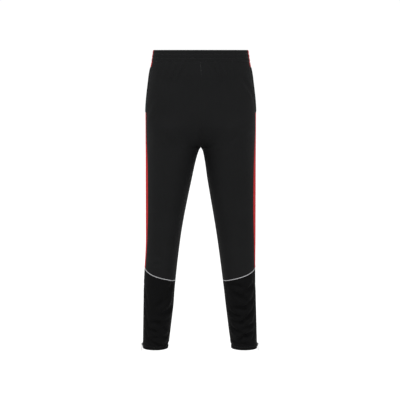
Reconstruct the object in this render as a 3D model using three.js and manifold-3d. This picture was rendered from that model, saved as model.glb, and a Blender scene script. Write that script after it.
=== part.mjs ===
// Training trousers: elastic waist, contrast side panels with welt pockets, piped shin
// inserts and ankle zips. Millimetres, +Z up, front towards -Y, wearer's right at -X.
// The origin is the centre of the waist opening, in the plane of the waistband's top edge.
// A place on the cloth is given by its drop below that edge and by its run: the distance
// round the leg from the side line, negative towards the front and positive to the back.
import * as THREE from "three";
import { mergeVertices } from "three/addons/utils/BufferGeometryUtils.js";
import Module from "manifold-3d";

const wasm = await Module();
wasm.setup();

// ---------------------------------------------------------------- driving dimensions
const RISE = 330; // waist edge to the crotch point, straight down
const INSEAM = 690; // crotch point to the hem
const HEM = RISE + INSEAM;

const WAISTBAND_HEIGHT = 40;
const HIGH_HIP_DROP = 92;
const HIP_DROP = 216;
const THIGH_DROP = RISE + 114;
const KNEE_DROP = HEM - 389;
const CALF_DROP = HEM - 205; // from here to the hem the outer side is straight
const ANKLE_DROP = HEM - 141;
const FORK_DROP = 185; // where the centre seams begin to curve in under the crotch

const CLOTH = 1.2; // knitted shell fabric
const LINING = 0.6; // pocket bag and zip tape
const SEAM_GAP = 0.4; // between panels that are sewn edge to edge
const LAYER_GAP = 0.4; // between layers that lie on each other
const TOUCH_GAP = 0.3; // between hard pieces that meet

// Half widths and depths of the body of the garment, to the cloth's outer face.
const WAIST_HALF = 161;
const WAIST_SEAM_HALF = 167;
const HIGH_HIP_HALF = 176.5;
const HIP_HALF = 188;
const WAIST_FRONT = 104;
const WAIST_BACK = 104;
const WAIST_SLOPE = 0.07; // the waist's edge is lower at the front than at the back
const THIGH_BLEND = 70; // how far below the crotch point the thigh takes its full shape
const SEAM_REACH = 8; // how closely the crotch curve keeps to the centre seams
const PELVIS_FULLNESS = 2.25; // exponent of the waist and hip sections: 2 is an ellipse

// Outer and inner edge of each leg from the middle plane. The legs stand a little unevenly.
const LEG_EDGES = {
  right: {
    thigh: [188, 32],
    knee: [188, 68],
    calf: [196, 89.5],
    ankle: [197.2, 94.5],
    hem: [199.7, 112.6],
  },
  left: {
    thigh: [188, 23.5],
    knee: [188, 55],
    calf: [188.6, 79.5],
    ankle: [190.4, 87],
    hem: [194.5, 105.4],
  },
};
const CROTCH_ARCH_DROP = 10; // height of the small arch where the legs part
const CROTCH_ARCH_HALF = 6.4;

const WAISTBAND_WALL = 1.1;
const WAISTBAND_THICK = 5;
const ELASTIC_THICK = 2;
const ELASTIC_HEIGHT = 34;

const PIPING_WIDTH = 2.5;
const PIPING_PROUD = 0.8;

const POCKET_TOP_DROP = 57;
const POCKET_MOUTH = 155;
const WELT_THICK = 1.4;
const BAG_DEPTH = 118; // how far the bag reaches forward of the side panel
const BAG_HANG = 72; // how far it hangs below the mouth
const BAG_CLEAR = 2.2; // off the inside of the front panel
const BAG_SPACE = 1.2; // between its two layers, lying flat
const BAG_COLUMNS = 8;
const BAG_LINES = 12;
const BAG_SEAM = 3;

const EYELET_BORE_R = 2.4;
const EYELET_BARREL_R = 3.1;
const EYELET_FLANGE_R = 5.2;
const EYELET_FLANGE_THICK = 0.8;
const EYELET_SPACING = 56;
const EYELET_DROP = 21;
const EYELET_SIDES = 16;
const EYELET_CLEAR = 0.1; // from the barrel's end to the elastic's space
const EYELET_CUT = 2; // half the length of the tool that cuts its hole

const LABEL_WIDTH = 34;
const LABEL_LENGTH = 44;
const LABEL_THICK = 0.6;
const LABEL_STAND_OFF = 7; // from the back panel's outer face at the waistband seam

const ZIP_LENGTH = 198; // bottom stop to hem
const ZIP_OPENING_HALF = 5.6; // cloth edge to the middle of the chain
const TAPE_WIDTH = 15;
const TAPE_DEPTH = CLOTH + LAYER_GAP;
const CHAIN_GAP_HALF = 0.6;
const COIL_WIDTH = 2.7;
const COIL_PROUD = 0.4;
const COIL_END = 6; // coil end above the hem
const STOP_LENGTH = 2.6;
const STOP_PROUD = 0.5; // over the coil
const SLIDE_FIT = 0.35; // running clearance of the slider round the chain
const SLIDER_LENGTH = 12;
const SLIDER_PLATE = 1.2;
const SLIDER_FLANGE = 0.8;
const SLIDER_BRIDGE_HALF = 0.28;
const SLIDER_BRIDGE_LENGTH = 3;
const SLIDER_NOSE = 1; // from its lower end to its flanges
const SLIDER_CORNER = 1.5;
const SLIDER_SINK = 0.2; // how far its flanges and bail are let into its plates
const SLIDER_WAIST = 6.6; // from its lower end to the upper end of its flanges
const SLIDER_REST = 0.52; // its lower end over the lower ends of the coils, on the stops
const SLIDER_TAIL_FIT = 0.21; // each side of the closed chain at its upper end
const TAPE_SLACK = 0.2; // more clearance behind the tapes
const BAIL_BORE_R = 1.1;
const BAIL_R = 2.2;
const BAIL_HALF_WIDTH = 0.9;
const BAIL_LIFT = 0.4; // its bore over the upper plate
const PULL_BAR = 1.3; // section of the bar through the bail, and thickness of the pull
const PULL_WIDTH = 5.6;
const PULL_LENGTH = 24;
const PULL_SIDE_FIT = 0.5;
const PULL_END_FIT = 2; // past the bail
const PULL_SHOULDER = 0.6; // past the window
const PULL_WAIST_IN = 0.8; // how far it narrows on each side
const PULL_WAIST_DOWN = 2.5; // past the shoulder
const PULL_HOLE_R = 1.2;

const COLOURS = {
  blackKnit: { color: 0x1c1c1d, roughness: 0.85, metalness: 0 },
  redKnit: { color: 0xc4211f, roughness: 0.8, metalness: 0 },
  piping: { color: 0xc9cccd, roughness: 0.45, metalness: 0 },
  lining: { color: 0x232325, roughness: 0.9, metalness: 0 },
  elastic: { color: 0x3a3a3c, roughness: 0.9, metalness: 0 },
  tape: { color: 0x151516, roughness: 0.85, metalness: 0 },
  coil: { color: 0x111112, roughness: 0.45, metalness: 0 },
  blackMetal: { color: 0x2b2b2e, roughness: 0.4, metalness: 0.9 },
  label: { color: 0xe9e9e6, roughness: 0.7, metalness: 0 },
};

// ---------------------------------------------------------------- outlines
const even = (n) => Array.from({ length: n + 1 }, (_, i) => i / n);
const mix = (a, b, t) => a + (b - a) * t;
const clamp01 = (t) => Math.min(1, Math.max(0, t));
const smooth = (t) => clamp01(t) ** 2 * (3 - 2 * clamp01(t));

// A smooth line through [drop, value] stations that never overshoots them. Its last
// stretch is straight, and so is what lies beyond either end.
function outline(stations) {
  const n = stations.length;
  const slopes = stations
    .slice(1)
    .map(([x, y], i) => (y - stations[i][1]) / (x - stations[i][0]));
  const tangents = stations.map((_, i) => {
    if (i === 0) return slopes[0];
    if (i >= n - 2) return slopes[n - 2];
    const [a, b] = [slopes[i - 1], slopes[i]];
    return a * b <= 0 ? 0 : (2 * a * b) / (a + b);
  });
  return (x) => {
    if (x <= stations[0][0]) return stations[0][1] + slopes[0] * (x - stations[0][0]);
    const found = stations.findIndex(([sx]) => x < sx);
    const i = found < 0 ? n - 2 : found - 1;
    const [x0, y0] = stations[i];
    const [x1, y1] = stations[i + 1];
    if (i === n - 2) return y0 + slopes[i] * (x - x0);
    const h = x1 - x0;
    const t = (x - x0) / h;
    return (
      mix(y0, y1, t * t * (3 - 2 * t)) +
      h * t * (1 - t) * ((1 - t) * tangents[i] - t * tangents[i + 1])
    );
  };
}

const frontDepth = outline([
  [0, WAIST_FRONT],
  [WAISTBAND_HEIGHT, WAIST_FRONT + 2],
  [HIGH_HIP_DROP, 112],
  [HIP_DROP, 112],
  [RISE, 98],
  [THIGH_DROP, 84],
  [KNEE_DROP, 66],
  [CALF_DROP, 56],
  [HEM, 43],
]);
const backDepth = outline([
  [0, WAIST_BACK],
  [WAISTBAND_HEIGHT, WAIST_BACK + 6],
  [HIGH_HIP_DROP, 122],
  [HIP_DROP, 134],
  [RISE, 118],
  [THIGH_DROP, 98],
  [KNEE_DROP, 74],
  [CALF_DROP, 66],
  [HEM, 53],
]);

// The side panel's reach either side of the side line, and the shin seam's drop by its
// share of the way round the front from the side line to the inseam.
const SHIN_SEAM_DROP = HEM - 285;
const stripeFront = outline([
  [0, 25],
  [HIGH_HIP_DROP, 30],
  [HIP_DROP, 29],
  [RISE - 30, 36],
  [RISE + 70, 43],
  [KNEE_DROP - 104, 40],
  [KNEE_DROP, 31],
  [SHIN_SEAM_DROP, 21],
]);
const stripeBack = outline([
  [0, 35],
  [HIP_DROP, 42],
  [RISE, 44],
  [KNEE_DROP - 104, 40],
  [KNEE_DROP, 30],
  [SHIN_SEAM_DROP, 0],
]);
const shinSeam = outline([
  [0, SHIN_SEAM_DROP],
  [0.22, SHIN_SEAM_DROP + 16],
  [0.39, SHIN_SEAM_DROP + 27.5],
  [0.61, SHIN_SEAM_DROP + 39],
  [0.83, SHIN_SEAM_DROP + 47],
  [1, SHIN_SEAM_DROP + 49],
]);
const shinSeamAt = (share) => shinSeam(clamp01(share));

// How far the inseam lies forward of the leg's inner line.
const inseam = outline([
  [RISE, 0],
  [THIGH_DROP, 2],
  [KNEE_DROP, 9],
  [SHIN_SEAM_DROP, 13],
  [HEM, 13],
]);
const inseamForward = (drop) => (drop > RISE ? inseam(drop) : 0);

// ---------------------------------------------------------------- the leg's surface
const SECTION_STEPS = 240;
const CUT_SPARE = 1.6; // how far a cutting tool goes past what it cuts

// Half of the garment, modelled at +X: the body section above the crotch turns into a
// closed leg section below it.
class Leg {
  constructor(name) {
    const e = LEG_EDGES[name];
    this.side = name;
    this.outer = outline([
      [0, WAIST_HALF],
      [WAISTBAND_HEIGHT, WAIST_SEAM_HALF],
      [HIGH_HIP_DROP, HIGH_HIP_HALF],
      [HIP_DROP, HIP_HALF],
      [THIGH_DROP, e.thigh[0]],
      [KNEE_DROP, e.knee[0]],
      [CALF_DROP, e.calf[0]],
      [HEM, e.hem[0]],
    ]);
    this.inner = outline([
      [RISE, 0],
      [RISE + CROTCH_ARCH_DROP, CROTCH_ARCH_HALF],
      [THIGH_DROP, e.thigh[1]],
      [KNEE_DROP, e.knee[1]],
      [CALF_DROP, e.calf[1]],
      [ANKLE_DROP, e.ankle[1]],
      [HEM, e.hem[1]],
    ]);
    this.sections = new Map();
  }

  // A point of the bare section at a drop: turn 0 is the inner front end, 0.5 the side
  // line and 1 the inner back end. Depths are shares of the section's own depth.
  sectionPoint(drop, turn) {
    const outer = this.outer(drop);
    const inner = drop > RISE ? this.inner(drop) : 0;
    const bodyAngle = Math.PI * (turn - 0.5);
    const power = (v) => Math.sign(v) * Math.abs(v) ** (2 / PELVIS_FULLNESS);
    const body = [outer * power(Math.cos(bodyAngle)), power(Math.sin(bodyAngle))];
    const legAngle = 2 * bodyAngle;
    const leg = [
      (outer + inner) / 2 + ((outer - inner) / 2) * Math.cos(legAngle),
      Math.sin(legAngle),
    ];
    const way = clamp01((drop - FORK_DROP) / (RISE - FORK_DROP));
    const atSeam = 1 - Math.sqrt(1 - way * way);
    const away = smooth((drop - FORK_DROP) / (RISE + THIGH_BLEND - FORK_DROP));
    const share = mix(away, atSeam, Math.sin(bodyAngle) ** SEAM_REACH);
    return [mix(body[0], leg[0], share), mix(body[1], leg[1], share)];
  }

  // The section as points at even turns, with their runs measured from the side line.
  section(drop) {
    if (this.sections.has(drop)) return this.sections.get(drop);
    const bare = even(SECTION_STEPS).map((turn) => this.sectionPoint(drop, turn));
    const [front, back] = [frontDepth(drop), backDepth(drop)];
    const middle = (back - front) / 2;
    const depth = (back + front) / 2 / Math.max(...bare.map(([, y]) => y));
    const points = bare.map(([x, y]) => [x, middle + depth * y]);
    const runs = [0];
    for (let i = 1; i <= SECTION_STEPS; i++) {
      const [[x0, y0], [x1, y1]] = [points[i - 1], points[i]];
      runs.push(runs[i - 1] + Math.hypot(x1 - x0, y1 - y0));
    }
    const side = runs[SECTION_STEPS / 2];
    const made = {
      points,
      runs: runs.map((r) => r - side),
      front: side,
      back: runs[SECTION_STEPS] - side,
    };
    this.sections.set(drop, made);
    return made;
  }

  // Below the crotch a run past the back end carries on into the front.
  point(place, drop) {
    const { points, runs, front, back } = this.section(drop);
    const past = drop > RISE && place > back;
    const run = past ? place - front - back : place;
    let i = runs.findIndex((r) => r > run);
    i = i < 0 ? SECTION_STEPS : Math.max(i, 1);
    const t = clamp01((run - runs[i - 1]) / (runs[i] - runs[i - 1]));
    const x = mix(points[i - 1][0], points[i][0], t);
    const y = mix(points[i - 1][1], points[i][1], t);
    return new THREE.Vector3(x, y, -drop + y * WAIST_SLOPE * (1 - smooth(drop / FORK_DROP)));
  }

  // The same share of the way from the side line to the end of the section, at a new drop.
  carried(run, drop, newDrop) {
    const [a, b] = [this.section(drop), this.section(newDrop)];
    return run < 0 ? (run * b.front) / a.front : (run * b.back) / a.back;
  }

  normal(run, drop) {
    const step = 1;
    const along = this.point(run + step, drop).sub(this.point(run - step, drop));
    const up = Math.max(0, drop - step);
    const down = Math.min(HEM, drop + step);
    const fall = this.point(this.carried(run, drop, down), down).sub(
      this.point(this.carried(run, drop, up), up),
    );
    return fall.cross(along).normalize();
  }
}

// ---------------------------------------------------------------- solids
// A closed sheet between two depths under the surface that place(c, r) gives as a point
// and an outward normal. Columns and rows are the values of c and r from 0 to 1, or how
// many even steps there are. A ring joins its last column to its first.
function sheet(place, { columns, lines, from, to, ring = false }) {
  const across = Array.isArray(columns) ? columns : even(columns);
  const down = Array.isArray(lines) ? lines : even(lines);
  const cols = across.length - 1;
  const rows = down.length - 1;
  if (ring) across.pop();
  const positions = [];
  for (const depth of [from, to])
    for (const r of down)
      for (const c of across) {
        const { point, normal } = place(c, r);
        positions.push(...point.clone().addScaledVector(normal, -depth).toArray());
      }
  const width = across.length;
  const layer = width * (rows + 1);
  const at = (level, r, c) => level * layer + r * width + (c % width);
  const faces = [];
  const quad = (a, b, c, d) => faces.push(a, b, c, a, c, d);
  for (let r = 0; r < rows; r++)
    for (let c = 0; c < cols; c++) {
      quad(at(0, r, c), at(0, r + 1, c), at(0, r + 1, c + 1), at(0, r, c + 1));
      quad(at(1, r, c), at(1, r, c + 1), at(1, r + 1, c + 1), at(1, r + 1, c));
    }
  for (let c = 0; c < cols; c++) {
    quad(at(0, 0, c), at(0, 0, c + 1), at(1, 0, c + 1), at(1, 0, c));
    quad(at(0, rows, c), at(1, rows, c), at(1, rows, c + 1), at(0, rows, c + 1));
  }
  if (!ring)
    for (let r = 0; r < rows; r++) {
      quad(at(0, r, 0), at(1, r, 0), at(1, r + 1, 0), at(0, r + 1, 0));
      quad(at(0, r, cols), at(0, r + 1, cols), at(1, r + 1, cols), at(1, r, cols));
    }
  const geometry = new THREE.BufferGeometry();
  geometry.setAttribute("position", new THREE.Float32BufferAttribute(positions, 3));
  geometry.setIndex(faces);
  return geometry;
}

function turnedOut(geometry) {
  const index = geometry.index.array;
  for (let i = 0; i < index.length; i += 3)
    [index[i + 1], index[i + 2]] = [index[i + 2], index[i + 1]];
  return geometry;
}

function solid(geometry) {
  const bare = geometry.clone();
  bare.deleteAttribute("normal");
  bare.deleteAttribute("uv");
  const merged = mergeVertices(bare, 1e-4);
  return new wasm.Manifold(
    new wasm.Mesh({
      numProp: 3,
      vertProperties: new Float32Array(merged.attributes.position.array),
      triVerts: new Uint32Array(merged.index.array),
    }),
  );
}

function fromSolid(made) {
  const mesh = made.getMesh();
  const geometry = new THREE.BufferGeometry();
  geometry.setAttribute(
    "position",
    new THREE.BufferAttribute(new Float32Array(mesh.vertProperties), 3),
  );
  geometry.setIndex(new THREE.BufferAttribute(new Uint32Array(mesh.triVerts), 1));
  return geometry;
}

const joined = (...parts) => fromSolid(parts.map(solid).reduce((a, b) => a.add(b)));
const cut = (body, ...tools) =>
  fromSolid(tools.map(solid).reduce((a, b) => a.subtract(b), solid(body)));

// A box from its lowest to its highest corner.
function block([x0, y0, z0], [x1, y1, z1]) {
  const geometry = new THREE.BoxGeometry(x1 - x0, y1 - y0, z1 - z0);
  return geometry.translate((x0 + x1) / 2, (y0 + y1) / 2, (z0 + z1) / 2);
}

// ---------------------------------------------------------------- assembly helpers
const trousers = new THREE.Group();
const materials = Object.fromEntries(
  Object.entries(COLOURS).map(([k, v]) => [k, new THREE.MeshStandardMaterial(v)]),
);

function add(name, geometry, finish, parent = trousers) {
  const mesh = new THREE.Mesh(geometry, materials[finish]);
  mesh.name = name;
  parent.add(mesh);
  return mesh;
}

// Adds a piece modelled on the +X half to its own side of the garment.
function addToSide(leg, name, geometry, finish) {
  if (leg.side === "right") {
    geometry.scale(-1, 1, 1);
    turnedOut(geometry);
  }
  return add(`${name}_${leg.side}`, geometry, finish);
}

// A sheet over a patch of a leg. run(c, drop) gives the run of a column, and top(share)
// and bottom(share) the edges by the share of the way round the front to the inner seam.
function patch(leg, { top, bottom, run, columns, lines, from = 0, to = CLOTH }) {
  const place = (c, r) => {
    let drop = mix(top(0), bottom(0), r);
    let at = run(c, drop);
    for (let i = 0; i < 4; i++) {
      const share = clamp01(-at / leg.section(drop).front);
      drop = mix(top(share), bottom(share), r);
      at = run(c, drop);
    }
    return { point: leg.point(at, drop), normal: leg.normal(at, drop) };
  };
  return sheet(place, { columns, lines, from, to });
}

// Shares of a length for lines that fall on each given place, and close enough between.
function ladder(places, step) {
  const [first, last] = [places[0], places[places.length - 1]];
  const rungs = [first];
  for (const [i, next] of places.slice(1).entries()) {
    const gap = next - places[i];
    const n = Math.max(1, Math.round(gap / step));
    for (let k = 1; k <= n; k++) rungs.push(places[i] + (gap * k) / n);
  }
  return rungs.map((v) => (v - first) / (last - first));
}

// ---------------------------------------------------------------- cloth panels
const level = (drop) => () => drop;
const PANEL_TOP = WAISTBAND_HEIGHT + SEAM_GAP / 2;
const HALF_GAP = SEAM_GAP / 2;
const PIPING_HALF = PIPING_WIDTH / 2;
const aboveSeam = (share) => shinSeamAt(share) - PIPING_HALF - SEAM_GAP;
const belowSeam = (share) => shinSeamAt(share) + PIPING_HALF + SEAM_GAP;

// Cloth edge beside the side line below the side panel: a plain seam, then the zip.
const ZIP_TOP = HEM - ZIP_LENGTH;
const ZIP_TAPER = 6;
const zipEdge = (drop) => {
  const start = ZIP_TOP - STOP_LENGTH - ZIP_TAPER;
  return mix(HALF_GAP, ZIP_OPENING_HALF, clamp01((drop - start) / ZIP_TAPER));
};
const backEdge = (drop) =>
  drop < SHIN_SEAM_DROP ? stripeBack(drop) + HALF_GAP : zipEdge(drop);

// Runs across a panel: its first column is an even margin along the outer edge, wide
// enough to back the zip tape, and the others share what is left evenly.
const EDGE_MARGIN = TAPE_WIDTH + 1 - ZIP_OPENING_HALF;
function acrossPanel(c, columns, edge, inner) {
  const first = 1 / columns;
  if (c <= first) return edge + (EDGE_MARGIN * c) / first;
  return mix(edge + EDGE_MARGIN, inner, (c - first) / (1 - first));
}

const PANEL_COLUMNS = 9;
const LINE_STEP = 38;
const CROTCH_LINES = [RISE - 34, RISE - 12, RISE, RISE + CROTCH_ARCH_DROP];
const SHELL_LINES = [PANEL_TOP, ...CROTCH_LINES, SHIN_SEAM_DROP];
const ZIP_MOUTH_LINES = [ZIP_TOP - STOP_LENGTH - ZIP_TAPER, ZIP_TOP - STOP_LENGTH];

const SIDE_COLUMNS = 4;
const MOUTH_LINES = [POCKET_TOP_DROP, POCKET_TOP_DROP + POCKET_MOUTH];
const acrossSidePanel = (c, drop) =>
  mix(HALF_GAP - stripeFront(drop), stripeBack(drop) - HALF_GAP, c);

const frontEnd = (leg, drop) => leg.section(drop).front - inseamForward(drop);
const backEnd = (leg, drop) => leg.section(drop).back + inseamForward(drop);

function addPanels(leg) {
  const toInner = (edge) => (c, drop) =>
    -acrossPanel(1 - c, PANEL_COLUMNS, edge(drop), frontEnd(leg, drop) - HALF_GAP);
  addToSide(
    leg,
    "front_panel",
    patch(leg, {
      top: level(PANEL_TOP),
      bottom: aboveSeam,
      run: toInner((drop) => stripeFront(drop) + HALF_GAP),
      columns: PANEL_COLUMNS,
      lines: ladder([PANEL_TOP, ...MOUTH_LINES, ...CROTCH_LINES, SHIN_SEAM_DROP], LINE_STEP),
    }),
    "blackKnit",
  );
  addToSide(
    leg,
    "shin_panel",
    patch(leg, {
      top: belowSeam,
      bottom: level(HEM),
      run: toInner(zipEdge),
      columns: PANEL_COLUMNS,
      lines: ladder([SHIN_SEAM_DROP, ...ZIP_MOUTH_LINES, HEM], LINE_STEP),
    }),
    "blackKnit",
  );
  addToSide(
    leg,
    "back_panel",
    patch(leg, {
      top: level(PANEL_TOP),
      bottom: level(HEM),
      run: (c, drop) => acrossPanel(c, PANEL_COLUMNS, backEdge(drop), backEnd(leg, drop) - HALF_GAP),
      columns: PANEL_COLUMNS,
      lines: ladder([...SHELL_LINES, ...ZIP_MOUTH_LINES, HEM], LINE_STEP),
    }),
    "blackKnit",
  );
  addToSide(
    leg,
    "side_panel",
    patch(leg, {
      top: level(PANEL_TOP),
      bottom: aboveSeam,
      run: acrossSidePanel,
      columns: SIDE_COLUMNS,
      lines: ladder([PANEL_TOP, ...MOUTH_LINES, ...CROTCH_LINES, SHIN_SEAM_DROP], LINE_STEP),
    }),
    "redKnit",
  );
  addToSide(
    leg,
    "shin_piping",
    patch(leg, {
      top: (share) => shinSeamAt(share) - PIPING_HALF,
      bottom: (share) => shinSeamAt(share) + PIPING_HALF,
      run: (c, drop) => mix(HALF_GAP - frontEnd(leg, drop), -HALF_GAP, c),
      columns: 2 * PANEL_COLUMNS,
      lines: 1,
      from: -PIPING_PROUD,
      to: CLOTH,
    }),
    "piping",
  );
}

// ---------------------------------------------------------------- pockets
// The welt covers the front half of the side panel and has that panel's own columns and
// lines, so that it lies evenly on it.
function addPocket(leg) {
  const [mouthTop, mouthEnd] = MOUTH_LINES;
  addToSide(
    leg,
    "pocket_welt",
    patch(leg, {
      top: level(mouthTop),
      bottom: level(mouthEnd),
      run: (c, drop) => acrossSidePanel(c / 2, drop),
      columns: SIDE_COLUMNS / 2,
      lines: ladder(MOUTH_LINES, LINE_STEP),
      from: -LAYER_GAP - WELT_THICK,
      to: -LAYER_GAP,
    }),
    "blackKnit",
  );
  // The bag is a flat pouch behind the front panel, open towards the side panel.
  const outer = CLOTH + BAG_CLEAR;
  const back = (drop) => -(stripeFront(drop) + SEAM_GAP);
  const bagTop = mouthTop - BAG_SEAM;
  const bagBottom = mouthEnd + BAG_HANG;
  const bag = patch(leg, {
    top: level(bagTop),
    bottom: level(bagBottom),
    run: (c, drop) => back(drop) - (1 - c) * BAG_DEPTH,
    columns: BAG_COLUMNS,
    lines: BAG_LINES,
    from: outer,
    to: outer + BAG_SPACE + 2 * LINING,
  });
  const space = patch(leg, {
    top: level(bagTop + BAG_SEAM),
    bottom: level(bagBottom - BAG_SEAM),
    run: (c, drop) => mix(back(drop) - BAG_DEPTH + BAG_SEAM, back(drop) + BAG_SEAM, c),
    columns: BAG_COLUMNS,
    lines: BAG_LINES,
    from: outer + LINING,
    to: outer + LINING + BAG_SPACE,
  });
  addToSide(leg, "pocket_bag", cut(bag, space), "lining");
}

// ---------------------------------------------------------------- waistband
// A place on the waist ring: way runs from -1 at the middle of the back on the wearer's
// right, by 0 at the middle of the front, to 1 at the middle of the back again.
function onWaist(leg, place, drop) {
  const way = place > 1 ? place - 2 : place;
  const { front, back } = leg.section(drop);
  const run = Math.abs(way) * (front + back) - front;
  const point = leg.point(run, drop);
  const along = leg.point(run + 1, drop).sub(leg.point(run - 1, drop));
  const normal = new THREE.Vector3(along.y, -along.x, 0).normalize();
  if (way < 0) {
    point.x *= -1;
    normal.x *= -1;
  }
  return { point, normal };
}

function waistWay(leg, run) {
  const { front, back } = leg.section(0);
  return (front + run) / (front + back);
}

// A folded strip round the elastic: two walls joined along the top edge. Its columns are
// odd in number, so its middle is flat.
const WAIST_STEP = 0.045;
function casing(leg, from, to) {
  const columns = 2 * Math.floor((to - from) / WAIST_STEP / 2) + 1;
  const bottom = WAISTBAND_HEIGHT - SEAM_GAP / 2;
  const slab = (top, low, outer, inner, spare) =>
    sheet(
      (c, r) => onWaist(leg, mix(from - spare, to + spare, c), mix(top, low, r)),
      { columns, lines: 1, from: outer, to: inner },
    );
  return cut(
    slab(0, bottom, 0, WAISTBAND_THICK, 0),
    slab(
      WAISTBAND_WALL,
      bottom + CUT_SPARE,
      WAISTBAND_WALL,
      WAISTBAND_THICK - WAISTBAND_WALL,
      CUT_SPARE / (leg.section(0).front + leg.section(0).back),
    ),
  );
}

// Round stock through the cloth, between two depths below its outer face, standing on an
// eyelet's place to one side of the middle of the front.
function eyeletStock(leg, sign, radius, shallow, deep) {
  const { front, back } = leg.section(EYELET_DROP);
  const way = (sign * EYELET_SPACING) / 2 / (front + back);
  const { point, normal } = onWaist(leg, way, EYELET_DROP);
  return new THREE.CylinderGeometry(radius, radius, deep - shallow, EYELET_SIDES)
    .translate(0, (shallow + deep) / 2, 0)
    .rotateZ(Math.atan2(normal.x, -normal.y))
    .translate(...point.toArray());
}

function addWaistband(leg) {
  const front = waistWay(leg, -stripeFront(0));
  const back = waistWay(leg, stripeBack(0));
  const gap = HALF_GAP / (leg.section(0).front + leg.section(0).back);
  const holes = [-1, 1].map((sign) =>
    eyeletStock(
      leg,
      sign,
      EYELET_BARREL_R + LAYER_GAP,
      WAISTBAND_THICK - EYELET_CUT,
      WAISTBAND_THICK + EYELET_CUT,
    ),
  );
  add("waistband_front", cut(casing(leg, -front + gap, front - gap), ...holes), "blackKnit");
  add("waistband_back", casing(leg, back + gap, 2 - back - gap), "blackKnit");
  add("waistband_side_left", casing(leg, front + gap, back - gap), "redKnit");
  add("waistband_side_right", casing(leg, -back + gap, -front - gap), "redKnit");

  const slack = (WAISTBAND_THICK - ELASTIC_THICK) / 2;
  const elasticTop = WAISTBAND_WALL + LAYER_GAP;
  const band = sheet(
    (c, r) => onWaist(leg, mix(-1, 1, c), elasticTop + r * ELASTIC_HEIGHT),
    {
      columns: ladder([-1, -back, -front, front, back, 1], WAIST_STEP),
      lines: 1,
      from: slack,
      to: slack + ELASTIC_THICK,
      ring: true,
    },
  );
  add("waist_elastic", band, "elastic");

  const flangeFace = WAISTBAND_THICK + LAYER_GAP;
  const flangeBack = flangeFace + EYELET_FLANGE_THICK;
  const barrelEnd = WAISTBAND_THICK - WAISTBAND_WALL + EYELET_CLEAR;
  for (const [sign, side] of [
    [-1, "right"],
    [1, "left"],
  ]) {
    const stock = (...sizes) => eyeletStock(leg, sign, ...sizes);
    const eyelet = cut(
      joined(
        stock(EYELET_FLANGE_R, flangeFace, flangeBack),
        stock(EYELET_BARREL_R, barrelEnd, flangeBack),
      ),
      stock(EYELET_BORE_R, barrelEnd - CUT_SPARE, flangeBack + CUT_SPARE),
    );
    add(`drawcord_eyelet_${side}`, eyelet, "blackMetal");
  }

  const seam = leg.point(leg.section(PANEL_TOP).back, PANEL_TOP);
  const labelBack = seam.y - LABEL_STAND_OFF;
  const label = block(
    [-LABEL_WIDTH / 2, labelBack - LABEL_THICK, seam.z - LABEL_LENGTH],
    [LABEL_WIDTH / 2, labelBack, seam.z],
  );
  add("care_label", label, "label");
}

// ---------------------------------------------------------------- ankle zips
const COIL_OUTER = CHAIN_GAP_HALF + COIL_WIDTH;
const COIL_TOP = COIL_PROUD;
const COIL_FLOOR = -(TAPE_DEPTH - TOUCH_GAP);
const CHAIN_LENGTH = ZIP_LENGTH - COIL_END - STOP_LENGTH;
const SLIDER_HALF = COIL_OUTER + SLIDE_FIT + SLIDER_FLANGE;
const SLIDER_TOP = COIL_TOP + SLIDE_FIT + SLIDER_PLATE;
const SLIDER_FLOOR = -(TAPE_DEPTH + LINING + SLIDE_FIT + TAPE_SLACK);
const SLIDER_LOW = COIL_END + SLIDER_REST;
const PIVOT_OUT = SLIDER_TOP + BAIL_BORE_R + BAIL_LIFT;
const PIVOT_UP = SLIDER_LOW + SLIDER_LENGTH / 2;

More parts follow.
